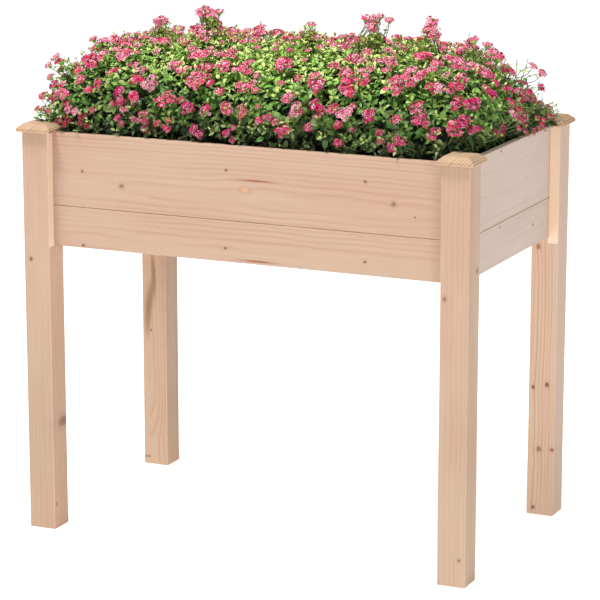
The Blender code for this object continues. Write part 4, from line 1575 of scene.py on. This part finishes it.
@dataclass(frozen=True)
class LeafTones:
    """How the leaves' painted light and shade change with their height in the mound, from 0 at the rim to 1
    at its top.
    """

    low: float = 0.30
    low_gain: float = 0.30
    level: float = 0.44
    even: float = 0.64
    burial: Pair = (0.85, 0.65)
    shade_under: float = 0.70
    shade_rate: float = 0.80
    most_shade: float = 0.19
    deepest: float = 0.90

    def painted_height_light(self, lift: float) -> float:
        """How far a leaf's colour moves towards the fresh green near the top and the rim, and away from it
        in the middle of the mound: painted light and shade.
        """
        return max(lift, self.level) - self.even + (self.low_gain if lift < self.low else 0.0)

    def depth(self, lift: float, buried: float, gloom: float) -> float:
        """How much painted shade a leaf gets.

        Args:
            lift: Its height in the mound.
            buried: How far below the crown it lies, from 0 to 1.
            gloom: Painted shade added to it; below zero, painted light.

        Returns:
            The share of painted shade, from 0 to 1.
        """
        depth = max(0.0, buried * (self.burial[0] - self.burial[1] * lift) + gloom)
        return min(self.deepest, depth + clamp(self.shade_rate * (self.shade_under - lift), self.most_shade))


@dataclass
class Bush:
    """One flowering bush: stem, dark heart, leafy shoots and flower heads."""

    cell: Cell
    parts: PlantParts
    tones: LeafTones = LeafTones()
    stem_radius: float = 0.0055
    stem_depth: float = 0.045
    shoots: int = 290
    shoot_spacing: float = 0.0132
    shoot_seed: int = 500
    shoot_length: float = 0.095
    shoot_play: Pair = (-0.014, 0.004)
    shoot_sway: Sway = (0.45, (0.15, 0.6))
    shoot_reach: float = 0.8
    shoot_pull: Pair = (0.75, 0.45)
    shoot_elbow: float = 0.55
    twig_radii: Pair = (0.0013, 0.0006)
    twig_depth: float = 0.3
    pointed_share: float = 0.84
    hollow_depth: float = 0.024
    hollow_shade: float = 0.50
    glade_light: float = 0.25
    high_rise: float = 0.030
    high_shrink: float = 0.35
    skirt_shoots: int = 90
    skirt_scale: float = 0.62
    skirt_light: float = 0.50
    leaf_pairs: int = 5
    pair_spacing: float = 0.0105
    tip_gap: float = 0.004
    lowest_share: float = 0.1
    leaf_length: Pair = (0.011, 0.025)
    leaf_growth: Pair = (0.45, 0.25)
    leaf_width: Pair = (0.82, 1.15)
    tip_opening: Pair = (0.9, 1.6)
    opening: Pair = (0.25, 0.75)
    pair_play: float = 0.3
    leaf_nod: float = 0.15
    leaf_facing: tuple[float, float, float] = (0.9, 0.4, 0.15)
    face_sway: Sway = (0.5, (0.1, 0.8))
    shoot_freshness: Pair = (0.15, 0.80)
    tip_freshness: float = 0.28
    pair_fading: float = 0.10
    leaf_hue_play: float = 0.18
    inner_leaves: int = 420
    inner_spacing: float = 0.008
    inner_inset: Pair = (0.028, 0.044)
    inner_length: Pair = (0.016, 0.026)
    inner_sway: Sway = (1.0, (-0.6, 1.0))
    inner_face_sway: Sway = (0.5, (0.0, 0.8))
    inner_lit: Pair = (0.45, 0.40)
    inner_hue: Pair = (0.0, 0.40)
    inner_light_hue: float = 0.40
    inner_depth: Pair = (0.22, 0.66)
    inner_light_depth: float = 0.65
    inner_seed: int = 600
    skirt_leaves: int = 90
    heads: int = 34
    head_spacing: float = 0.029
    head_radius: Pair = (0.0120, 0.0160)
    small_share: Pair = (0.45, 0.80)
    glade_shrink: float = 0.3
    head_lean: Sway = (0.4, 0.5)
    head_sink: Pair = (0.6, 0.008)
    kind_play: float = 0.3
    kinds_by_height: tuple[tuple[float, BloomKind], ...] = (
        (0.85, SALMON), (0.6, PINK), (0.3, HOT), (-math.inf, MAGENTA),
    )
    head_seed: int = 200
    flush_radius: Pair = (0.0072, 0.0108)
    flush_set_back: Pair = (0.003, 0.008)
    flush_depth: float = 0.011
    flush_lean: Sway = (0.5, 0.4)
    flush_seed: int = 700
    back_flushes: int = 9
    back_kinds: tuple[BloomKind, ...] = (SALMON, PINK, HOT, HOT, MAGENTA)
    back_heads: tuple[int, int] = (2, 6)
    back_reach: float = 0.015
    back_from: float = 0.09
    back_room: float = 0.004
    front_reach: float = 0.006
    spray_seed: int = 900
    spray_radius: Pair = (0.0075, 0.0100)
    spray_twig: Pair = (0.0009, 0.0005)
    spray_rise: float = 0.010
    bare_spray: Pair = (0.8, 0.0)
    headed_spray: Pair = (0.62, -0.2)
    spray_facing: float = 0.7
    spray_lean: Triple = (0.0, -0.2, 0.6)

    @property
    def crown(self) -> Crown:
        """The outline that the whole planting fills."""
        return self.cell.crown

    def draws(self, seed: int, rank: int) -> random.Random:
        """The random draws of one shoot, leaf or head."""
        return random.Random(seed + 1000 * self.cell.number + rank)

    def grow(self) -> list[bpy.types.Object]:
        """Builds the bush's two pieces, hangs them on the root body and hides the bush's CAD node.

        Returns:
            The leafy piece and the flowering piece.
        """
        number, parts = self.cell.number, self.parts
        leafy, flowery, bouquet = Heap(), Heap(), Bouquet(self.crown.walls.rim, self.crown.height)
        self.grow_shoots(leafy)
        self.grow_inner_leaves(leafy)
        self.grow_stem(leafy)
        self.grow_heart(leafy)
        self.grow_heads(bouquet)
        self.grow_flushes(bouquet)
        self.grow_sprays(leafy, bouquet)
        bouquet.stamp_on(flowery, parts)
        pieces = []
        for sort, heap, slot, materials in (
            ("leaves", leafy, "foliage", (parts.green, parts.bark, parts.heart)),
            ("flowers", flowery, "blossom", (parts.petal, parts.green, parts.bark)),
        ):
            piece = heap.build(f"bush_{number}_{sort}", materials, self.crown.walls)
            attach(piece, "root")
            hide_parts(f"bush_{number}")
            pieces.append(piece)
        return pieces

    def depth_of(self, point: Vector, over: float = 0.075) -> float:
        """How far below the crown a point lies, from 0 at it to 1."""
        return clamp((self.crown.at(point.x, point.y) - point.z) / over)

    def grow_shoots(self, heap: Heap) -> None:
        """Covers the crown with leafy shoots, each with pairs of leaves set crosswise."""
        pointed, rounded, twigs = Leafage(), Leafage(), Stalks()
        tops = self.cell.shoot_tops()
        places = self.cell.strew(self.shoot_seed, self.shoots, self.shoot_spacing, tops, ALL_OVER)
        on_crown = len(places)
        places += self.cell.skirt(self.shoot_seed, self.skirt_shoots)
        for rank, (spot, normal) in enumerate(places):
            draw = self.draws(self.shoot_seed, rank)
            axis = (normal + swayed(draw, *self.shoot_sway)).normalized()
            gloom = self.crown.gloom(spot)
            tip = spot + axis * draw.uniform(*self.shoot_play) - normal * self.hollow_depth * gloom
            inward = self.cell.middle - spot
            length = min(self.shoot_length, inward.length * self.shoot_reach)
            pull, push = self.shoot_pull
            start = tip + (inward.normalized() * pull - axis * push).normalized() * length
            line = (start, tip - axis * length * self.shoot_elbow, tip)
            twigs.add(*line, self.twig_radii, self.twig_depth)
            leaves = pointed if draw.random() < self.pointed_share else rounded
            if rank < on_crown:
                risen = min(1.0, self.crown.risen(spot.x, spot.y) / self.high_rise)
                scale = 1.0 - self.high_shrink * risen
                # Painted shade in the hollows, painted light in the middle of the top.
                shade = self.hollow_shade * gloom - self.glade_light * self.crown.glade(spot)
            else:
                # Painted light on the skirt's leaves.
                scale, shade = self.skirt_scale, -self.skirt_light
            self.leaf_out(leaves, line, normal, draw, scale, shade)
        pointed.stamp_on(heap, self.parts.leaf, 0)
        rounded.stamp_on(heap, self.parts.round_leaf, 0)
        twigs.stamp_on(heap, self.parts.twig, 1)

    def leaf_out(self, leaves: Leafage, line: tuple[Vector, Vector, Vector], outward: Vector,
                 draw: random.Random, scale: float = 1.0, gloom: float = 0.0) -> None:
        """Sets leaf pairs along one shoot, smaller and fresher towards its tip.

        Args:
            leaves: Where the leaves are noted.
            line: The foot of the shoot's curve, the point that it bends towards, and its tip.
            outward: The way out of the bush, which the leaves turn their faces to.
            draw: The shoot's random draws.
            scale: The leaves' size, as a share of the usual one.
            gloom: Painted shade added to the leaves; below zero, painted light.
        """
        start, bend, tip = line
        length = (tip - start).length
        turn = draw.uniform(0.0, math.tau)
        freshness = draw.uniform(*self.shoot_freshness)
        least, gain = self.leaf_growth
        to_outward, to_along, from_side = self.leaf_facing
        for pair in range(self.leaf_pairs):
            share = 1.0 - (self.tip_gap + pair * self.pair_spacing) / length
            if share < self.lowest_share:
                break
            place = start * (1 - share) ** 2 + bend * 2 * share * (1 - share) + tip * share ** 2
            along = ((tip - bend) * share + (bend - start) * (1 - share)).normalized()
            side = along.cross(crosswise(along)).normalized()
            angle = turn + pair * math.pi / 2 + either_way(draw, self.pair_play)
            side.rotate(Matrix.Rotation(angle, 3, along))
            lift = (place.z - self.crown.walls.rim) / self.crown.height
            depth = self.tones.depth(lift, self.depth_of(place), gloom)
            grown = scale * min(1.0, least + gain * pair)
            for sign in (1, -1):
                size = draw.uniform(*self.leaf_length) * grown
                open_out = draw.uniform(*(self.opening if pair else self.tip_opening))
                nod = Vector((0.0, 0.0, either_way(draw, self.leaf_nod)))
                heading = side * sign + along * open_out + nod
                face_to = outward * to_outward + along * to_along - side * sign * from_side
                face_to += swayed(draw, *self.face_sway)
                hue = freshness + self.tip_freshness - self.pair_fading * pair
                hue += either_way(draw, self.leaf_hue_play)
                hue += self.tones.painted_height_light(lift)
                wide = size * draw.uniform(*self.leaf_width)
                leaves.add(place, heading.normalized(), face_to, (wide, size, size), clamp(hue), depth)

    def grow_inner_leaves(self, heap: Heap) -> None:
        """A layer of plain leaves behind the shoots, which hides the bush's heart: painted shade darkens
        them, and painted light lifts them near the top.
        """
        leaves = Leafage()
        lit_from, lit_over = self.inner_lit
        places = self.cell.strew(self.inner_seed, self.inner_leaves, self.inner_spacing, [], ALL_OVER)
        places += self.cell.skirt(self.inner_seed, self.skirt_leaves)
        for rank, (spot, normal) in enumerate(places):
            draw = self.draws(self.inner_seed, rank)
            if self.crown.risen(spot.x, spot.y) > self.high_rise / 3:
                continue
            place = spot + (self.cell.middle - spot).normalized() * draw.uniform(*self.inner_inset)
            heading = swayed(draw, *self.inner_sway).normalized()
            face_to = normal + swayed(draw, *self.inner_face_sway)
            size = draw.uniform(*self.inner_length)
            lift = (place.z - self.crown.walls.rim) / self.crown.height
            # Painted light towards the top of the mound.
            light = clamp((lift - lit_from) / lit_over)
            hue = draw.uniform(*self.inner_hue) + self.inner_light_hue * light
            depth = draw.uniform(*self.inner_depth) * (1 - self.inner_light_depth * light)
            leaves.add(place, heading, face_to, (size, size, size), hue, depth)
        leaves.stamp_on(heap, self.parts.inner_leaf, 0)

    def grow_stem(self, heap: Heap) -> None:
        """The woody stem, from its hole in the soil up into the heart."""
        x, y = self.cell.stem
        foot = Vector((x, y, self.crown.walls.soil_top - self.stem_depth))
        head = Vector((x, y, self.cell.middle.z))
        trunk = Stalks()
        trunk.add(foot, (foot + head) / 2, head, (self.stem_radius, self.stem_radius * 0.8), 1.0)
        trunk.stamp_on(heap, self.parts.trunk, 1)

    def grow_heart(self, heap: Heap) -> None:
        """The lumpy inside of the bush, in the painted-shade finish."""
        shape = bmesh.new()
        bmesh.ops.create_icosphere(shape, subdivisions=4, radius=1.0)
        draw = random.Random(self.cell.number)
        for vert in shape.verts:
            direction = vert.co.normalized()
            reach = self.cell.core_reach(direction) - draw.uniform(0.0, 0.008)
            vert.co = self.cell.middle + direction * reach
        template = Template.taken_from(shape)
        heap.add(template, template.points[None], 2, depth=np.ones(1))

    def foot_of(self, centre: Vector, axis: Vector) -> Vector:
        """Where the stalk of a flower head comes out of the leaves."""
        inward = self.cell.middle - centre
        return centre + (inward.normalized() - axis * 0.8).normalized() * min(0.06, inward.length)

    def grow_heads(self, bouquet: Bouquet) -> None:
        """Sets the flower heads of the solids, small and loose between the flushes."""
        crown, tops = self.crown, self.cell.shoot_tops()
        sunk, deepest = self.head_sink
        places = self.cell.strew(self.head_seed, self.heads, self.head_spacing, tops, AS_THE_SOLIDS)
        for rank, (spot, normal) in enumerate(places):
            spot.z -= crown.sag(spot.x, spot.y)
            draw = self.draws(self.head_seed, rank)
            radius = draw.uniform(*self.head_radius) * draw.uniform(*self.small_share)
            radius *= 1 - self.glade_shrink * crown.glade(spot)
            axis = (normal + swayed(draw, *self.head_lean)).normalized()
            centre = spot - normal * (radius * sunk + draw.uniform(0.0, deepest))
            if self.cell.over_cap(centre):
                centre.y = radius - crown.walls.cap_inner_y
            high = (centre.z - crown.walls.rim) / crown.height + either_way(draw, self.kind_play)
            kind = stepped(high, self.kinds_by_height)
            bouquet.add(centre, axis, radius, kind, self.foot_of(centre, axis), draw)

    def grow_flushes(self, bouquet: Bouquet) -> None:
        """Sets the heads of the flushes that stand in this cell."""
        crown = self.crown
        nearest, farther = self.flush_set_back
        for rank, flush in enumerate(self.flushes()):
            draw = random.Random(self.flush_seed + 100 * self.cell.number + rank)
            x, y = flush.x, flush.y
            normal = crown.normal(x, y)
            set_back = nearest + farther * min(1.0, crown.risen(x, y) / self.high_rise)
            spot = Vector((x, y, crown.at(x, y) - crown.sag(x, y))) - normal * set_back
            level = Vector((0.0, 0.0, 1.0)) if normal.z < 0.9 else Vector((0.0, 1.0, 0.0))
            along = normal.cross(level).normalized()
            up = along.cross(normal)
            for _ in range(flush.heads):
                angle, out = draw.uniform(0.0, math.tau), flush.reach * math.sqrt(draw.random())
                offset = along * math.cos(angle) * out + up * math.sin(angle) * out
                centre = spot + offset - normal * draw.uniform(0.0, self.flush_depth)
                centre.y = max(centre.y, -crown.walls.inner_y - self.front_reach)
                axis = (normal + swayed(draw, *self.flush_lean)).normalized()
                radius = draw.uniform(*self.flush_radius)
                bouquet.add(centre, axis, radius, flush.kind, self.foot_of(centre, axis), draw)

    def flushes(self) -> list[Flush]:
        """The flushes in this cell: those listed, and random ones at the back."""
        found = [flush for flush in FLUSHES if self.cell.holds(flush.x, flush.y)]
        low_x, high_x, _, high_y = self.cell.outer
        if high_y > self.back_from:
            draw = random.Random(self.flush_seed + self.cell.number)
            for _ in range(self.back_flushes):
                x = draw.uniform(low_x, high_x)
                y = draw.uniform(self.back_from, high_y - self.back_room)
                kind = draw.choice(self.back_kinds)
                found.append(Flush(kind, x, y, self.back_reach, draw.randint(*self.back_heads)))
        return found

    def grow_sprays(self, heap: Heap, bouquet: Bouquet) -> None:
        """Sets the long thin shoots that start in this cell."""
        leaves, twigs = Leafage(), Stalks()
        for rank, spray in enumerate(SPRAYS):
            start, tip = Vector(spray.start), Vector(spray.tip)
            if not self.cell.holds(start.x, start.y):
                continue
            draw = random.Random(self.spray_seed + rank)
            line = (start, (start + tip) / 2 + Vector((0.0, 0.0, self.spray_rise)), tip)
            twigs.add(*line, self.spray_twig, 0.0)
            outward = (tip - start).normalized()
            if spray.kind is None:
                self.leaf_out(leaves, line, outward, draw, *self.bare_spray)
            else:
                self.leaf_out(leaves, line, outward, draw, *self.headed_spray)
                radius = draw.uniform(*self.spray_radius)
                axis = (outward * self.spray_facing + Vector(self.spray_lean)).normalized()
                bouquet.add(tip, axis, radius, spray.kind, start, draw)
        leaves.stamp_on(heap, self.parts.round_leaf, 0)
        twigs.stamp_on(heap, self.parts.twig, 1)


@dataclass
class Planting:
    """The bushes that fill the bed, one to each cell of the soil."""

    columns: int = 4
    rows: int = 2

    def build(self) -> list[bpy.types.Object]:
        """Grows every bush.

        Returns:
            The pieces, two to a bush.
        """
        walls = Walls.from_frame()
        crown = Crown(walls)
        parts = PlantParts.made()
        width = 2 * walls.inner_x / self.columns
        depth = 2 * walls.inner_y / self.rows
        pieces = []
        for row in range(self.rows):
            for column in range(self.columns):
                low_x = -walls.inner_x + column * width
                low_y = -walls.inner_y + row * depth
                number = row * self.columns + column + 1
                cell = Cell(number, (low_x, low_x + width, low_y, low_y + depth), crown)
                pieces += Bush(cell, parts).grow()
        return pieces


PIN, KNOT, STREAK, RESIN, SHADE, SWIRL = MarkKind
CORNERS = ("front_left", "front_right", "back_left", "back_right")


def marked(rows: tuple[tuple, ...]) -> tuple[Mark, ...]:
    """Marks from rows of a kind, a place, a radius and, if it isn't the usual one, a stretch."""
    return tuple(Mark(*row) for row in rows)


def clothe(node: str, material: bpy.types.Material) -> None:
    """Makes a material the only one of a CAD node."""
    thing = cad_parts[node]
    thing.data.materials.clear()
    thing.data.materials.append(material)


@dataclass
class Timber:
    """The box's wood: legs, caps, wall boards, ledgers and slats, each dressed as its own piece."""

    effects: Effects
    leg_rings: float = 0.0048
    cap_pith: Pair = (0.13, 0.12)
    slats: int = 8
    slat_pith_aside: float = 0.04
    slat_pith_depth: Pair = (-0.05, -0.02)

    def dress(self, name: str, finish: FirFinish) -> None:
        """Gives a CAD node its finish."""
        clothe(name, finish.material(name, self.effects))
        LOG.info("%s: fir, grain %s, %d marks", name, finish.run.name.lower(), len(finish.marks))

    def build(self) -> None:
        """Dresses every wooden node."""
        self.dress_legs()
        self.dress_caps()
        self.dress_boards()
        self.dress_bottom()

    def dress_legs(self) -> None:
        """The legs: fine straight upright grain, a few small knots."""
        arc = (
            (-0.4096, 0.4152, 0.0026), (-0.4074, 0.3992, 0.0026), (-0.4063, 0.3811, 0.0028),
            (-0.4078, 0.3648, 0.0030), (-0.4134, 0.3500, 0.0034), (-0.4181, 0.3333, 0.0036),
            (-0.4214, 0.3146, 0.0040), (-0.4222, 0.2962, 0.0038),
        )
        marks = {
            "front_left": (
                (KNOT, (-0.381, -0.215, 0.200), 0.0200, 0.5),
                (PIN, (-0.381, -0.235, 0.593), 0.0030),
                (PIN, (-0.419, -0.255, 0.511), 0.0035),
                (PIN, (-0.381, -0.199, 0.464), 0.0030),
                (PIN, (-0.381, -0.246, 0.047), 0.0025),
            ),
            "front_right": (
                (PIN, (0.433, -0.216, 0.559), 0.0040),
                (KNOT, (0.389, -0.255, 0.513), 0.0035),
                (PIN, (0.422, -0.255, 0.050), 0.0025),
            ),
            "back_right": (
                (PIN, (0.415, 0.203, 0.657), 0.0030),
                (PIN, (0.427, 0.203, 0.674), 0.0035),
                (KNOT, (0.395, 0.203, 0.517), 0.0045),
                (PIN, (0.390, 0.203, 0.248), 0.0036),
                (PIN, (0.417, 0.203, 0.255), 0.0046, 1.2),
                (KNOT, (0.403, 0.203, 0.129), 0.0046),
                (STREAK, (0.430, 0.203, 0.130), 0.0040, 0.8),
                (PIN, (0.394, 0.203, 0.014), 0.0035),
            ),
            "back_left": (
                *((SHADE, (x, 0.203, z), radius, 5.5) for x, z, radius in arc),
                (PIN, (-0.4286, 0.203, 0.0145), 0.0022),
                (PIN, (-0.4218, 0.203, 0.0154), 0.0022),
                (PIN, (-0.4148, 0.203, 0.2765), 0.0022),
                (SWIRL, (-0.428, 0.203, 0.030), 0.0140, 2.2),
            ),
        }
        piths = {
            "front_left": (-0.520, -0.160, 0.0),
            "front_right": (0.330, -0.130, 0.0),
            "back_right": (0.355, 0.255, 0.0),
            "back_left": (-0.425, 0.235, 0.0),
        }
        tones = {
            "front_left": {
                "foot": (0.88, 0.88, 0.86), "light": tone(189, 163, 141),
                # Painted light: a pale strip on the leg's right side face, above the lower board.
                "painted_light_patches": (PaintedLightPatch((-0.3820, -0.2540, 0.536), (-0.3800, -0.2345, 0.744)),),
            },
            "front_right": {"foot": (0.93, 0.93, 0.90)},
            # The back right leg is lighter all over and at its foot: painted light.
            "back_right": {
                "foot": (1.05, 1.07, 1.08), "light": tone(208, 180, 157), "blush": tone(204, 171, 147),
                "painted_light_patches": (
                    # Painted shade: the leg's right side face made greyer and darker.
                    PaintedLightPatch((0.4325, 0.1900, -0.010), (0.4400, 0.3000, 0.780), tone(190, 166, 150), 0.70),
                    # Painted light: a pale strip on the leg's front face, right of the boards.
                    PaintedLightPatch((0.4135, 0.2020, 0.525), (0.4325, 0.2040, 0.744), tone(244, 214, 186), 0.95),
                ),
            },
            "back_left": {
                "foot": (1.05, 1.06, 1.06),
                "light": tone(180, 153, 131), "blush": tone(177, 145, 121), "dark": tone(148, 106, 80),
            },
        }
        calm, lively = {"wander": 0.005, "lines": 0.35}, {"wander": 0.016, "lines": 0.60}
        for corner, found in marks.items():
            grain = lively if corner.startswith("back") else calm
            self.dress(f"leg_{corner}", FirFinish(
                GrainRun.UPRIGHT, piths[corner], ring_width=self.leg_rings, marks=marked(found),
                **grain, **tones[corner],
            ))

    def dress_caps(self) -> None:
        """The caps: grain from front to back, so that the front shows slanted end grain."""
        aside, below = self.cap_pith
        for corner in CORNERS:
            low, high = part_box(f"cap_{corner}")
            middle = (low + high) / 2
            self.dress(f"cap_{corner}", FirFinish(
                GrainRun.CROSSWAYS, (middle.x + aside, 0.0, middle.z - below),
                ring_width=self.leg_rings, wander=0.003,
                light=tone(188, 158, 128), dark=tone(120, 80, 50), blush=tone(180, 146, 116), lines=1.0,
            ))

    def dress_boards(self) -> None:
        """The wall boards: lines along the upper edges that fade towards a calm middle."""
        front = {
            "upper": (
                (PIN, (-0.321, -0.235, 0.677), 0.0026),
                (PIN, (-0.033, -0.235, 0.701), 0.0026),
                (PIN, (0.233, -0.235, 0.701), 0.0027),
                (KNOT, (-0.241, -0.235, 0.656), 0.0042),
                (KNOT, (0.286, -0.235, 0.666), 0.0042),
                (PIN, (0.326, -0.235, 0.646), 0.0016),
                (STREAK, (0.027, -0.235, 0.686), 0.0015, 18.0),
                (RESIN, (0.004, -0.235, 0.668), 0.0045, 1.8),
                (RESIN, (0.056, -0.235, 0.650), 0.0014, 7.0),
            ),
            "lower": (
                (PIN, (-0.321, -0.235, 0.541), 0.0030),
                (PIN, (-0.035, -0.235, 0.561), 0.0026),
                (PIN, (0.233, -0.235, 0.560), 0.0027),
                (STREAK, (0.027, -0.235, 0.542), 0.0015, 18.0),
                (RESIN, (0.214, -0.235, 0.604), 0.0016, 6.0),
            ),
        }
        right = {
            "upper": ((PIN, (0.413, -0.053, 0.738), 0.0026),),
            "lower": (
                (PIN, (0.413, -0.053, 0.603), 0.0022),
                (PIN, (0.413, 0.120, 0.575), 0.0030),
            ),
        }
        for level, middle in (("upper", 0.655), ("lower", 0.552)):
            self.dress(f"board_front_{level}", FirFinish(
                GrainRun.LENGTHWAYS, (0.0, -0.190, middle), wander=0.018, marks=marked(front[level]),
                light=tone(188, 159, 138), blush=tone(186, 153, 131), dark=tone(166, 119, 92),
                edge=tone(178, 140, 112),
            ))
            self.dress(f"board_back_{level}", FirFinish(
                GrainRun.LENGTHWAYS, (0.0, 0.300, middle + 0.02), wander=0.024,
            ))
            self.dress(f"board_right_{level}", FirFinish(
                GrainRun.CROSSWAYS, (0.350, 0.0, middle), wander=0.014, marks=marked(right[level]),
                light=tone(200, 181, 168), dark=tone(180, 153, 134), blush=tone(196, 176, 162), lines=0.4,
                edge=tone(196, 166, 142),
                painted_light_patches=(
                    # Painted light: the rim's top face made pale, under the leaves that shade it.
                    PaintedLightPatch((0.3985, -0.206, 0.7300), (0.4118, 0.206, 0.7600), tone(255, 232, 208), 0.95),
                ),
            ))
            self.dress(f"board_left_{level}", FirFinish(
                GrainRun.CROSSWAYS, (-0.480, 0.0, middle + 0.01), wander=0.016,
            ))

    def dress_bottom(self) -> None:
        """The ledgers and slats: rougher fir, each with rings of its own."""
        for name, y in (("front", -0.15), ("back", 0.17)):
            self.dress(f"ledger_{name}", FirFinish(
                GrainRun.LENGTHWAYS, (0.0, y, 0.600), ring_width=0.0040, lines=0.8,
                light=tone(214, 178, 148), dark=tone(170, 126, 94),
            ))
        for number in range(1, self.slats + 1):
            low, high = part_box(f"slat_{number}")
            draw = random.Random(number)
            x = (low.x + high.x) / 2 + either_way(draw, self.slat_pith_aside)
            pith = (x, 0.0, low.z + draw.uniform(*self.slat_pith_depth))
            self.dress(f"slat_{number}", FirFinish(
                GrainRun.CROSSWAYS, pith, ring_width=0.0050, wander=0.02, lines=0.8,
                light=tone(216, 182, 152), dark=tone(172, 128, 96), blush=tone(206, 168, 136),
            ))


@dataclass
class Studio:
    """A pale floor, soft light and the camera that took the picture."""

    eye: Triple = (2.07288, -4.54492, 1.57984)
    turn: float = math.radians(24.4876)
    tilt: float = math.radians(13.0665)
    lens: float = 166.39
    sensor: float = 36.0
    far: float = 200.0
    white: Shade = (1.0, 1.0, 1.0, 1.0)
    paper: Shade = (0.95, 0.95, 0.95, 1.0)
    floor_size: float = 60.0
    floor_glow: float = 0.6
    world_strength: float = 0.45
    key_strength: float = 165.0
    key_place: Triple = (-0.9, -1.2, 4.2)
    key_size: float = 0.9
    fill_strength: float = 46.0
    fill_place: Triple = (3.6, -3.0, 2.0)
    fill_size: float = 1.2
    lamps_aim: Triple = (0.0, 0.0, 0.6)

    def build(self) -> None:
        """Makes the floor, the lights, the world and the camera."""
        self.place_camera()
        self.lay_floor()
        self.hang_lights()
        view = bpy.context.scene.view_settings
        view.view_transform = "Standard"
        view.look = "None"

    def place_camera(self) -> None:
        """The camera, level from side to side and turned down a little."""
        camera = bpy.data.cameras.new("camera")
        camera.lens = self.lens
        camera.sensor_width = self.sensor
        camera.clip_end = self.far
        holder = bpy.data.objects.new("camera", camera)
        holder.location = self.eye
        holder.rotation_euler = (math.pi / 2 - self.tilt, 0.0, self.turn)
        bpy.context.scene.collection.objects.link(holder)
        bpy.context.scene.camera = holder

    def lay_floor(self) -> None:
        """A wide white floor."""
        shape = bmesh.new()
        bmesh.ops.create_grid(shape, x_segments=1, y_segments=1, size=self.floor_size / 2)
        mesh = bpy.data.meshes.new("floor")
        shape.to_mesh(mesh)
        shape.free()
        paper = bpy.data.materials.new("floor_paper")
        paper.use_nodes = True
        shader = paper.node_tree.nodes["Principled BSDF"]
        for name, value in (
            ("Base Color", self.paper), ("Roughness", 1.0), ("Specular IOR Level", 0.0),
            ("Emission Color", self.white), ("Emission Strength", self.floor_glow),
        ):
            shader.inputs[name].default_value = value
        mesh.materials.append(paper)
        floor = bpy.data.objects.new("floor", mesh)
        bpy.context.scene.collection.objects.link(floor)

    def hang_lights(self) -> None:
        """White light from all round, a soft lamp overhead and a weaker one at the right."""
        world = bpy.data.worlds.new("studio")
        world.use_nodes = True
        background = world.node_tree.nodes["Background"]
        background.inputs["Color"].default_value = self.white
        background.inputs["Strength"].default_value = self.world_strength
        bpy.context.scene.world = world
        self.hang("softbox", self.key_place, self.key_strength, self.key_size)
        self.hang("fill", self.fill_place, self.fill_strength, self.fill_size)

    def hang(self, name: str, place: Triple, strength: float, size: float) -> None:
        """Hangs one square soft lamp that looks at the bed."""
        lamp = bpy.data.lights.new(name, "AREA")
        lamp.energy = strength
        lamp.size = size
        holder = bpy.data.objects.new(name, lamp)
        holder.location = place
        aim = Vector(self.lamps_aim) - Vector(place)
        holder.rotation_euler = aim.to_track_quat("-Z", "Y").to_euler()
        bpy.context.scene.collection.objects.link(holder)


def main() -> None:
    """Builds the studio, dresses the box and grows the planting."""
    logging.basicConfig(level=logging.INFO, format="%(name)s: %(message)s")
    Studio().build()
    Timber(Effects()).build()
    clothe("soil", SoilFinish().material())
    LOG.info("soil: crumbly and dark")
    total = 0
    for piece in Planting().build():
        total += len(piece.data.polygons)
        LOG.info("%s: %d triangles", piece.name, len(piece.data.polygons))
    LOG.info("planting: %d triangles", total)


if __name__ == "__main__":
    main()
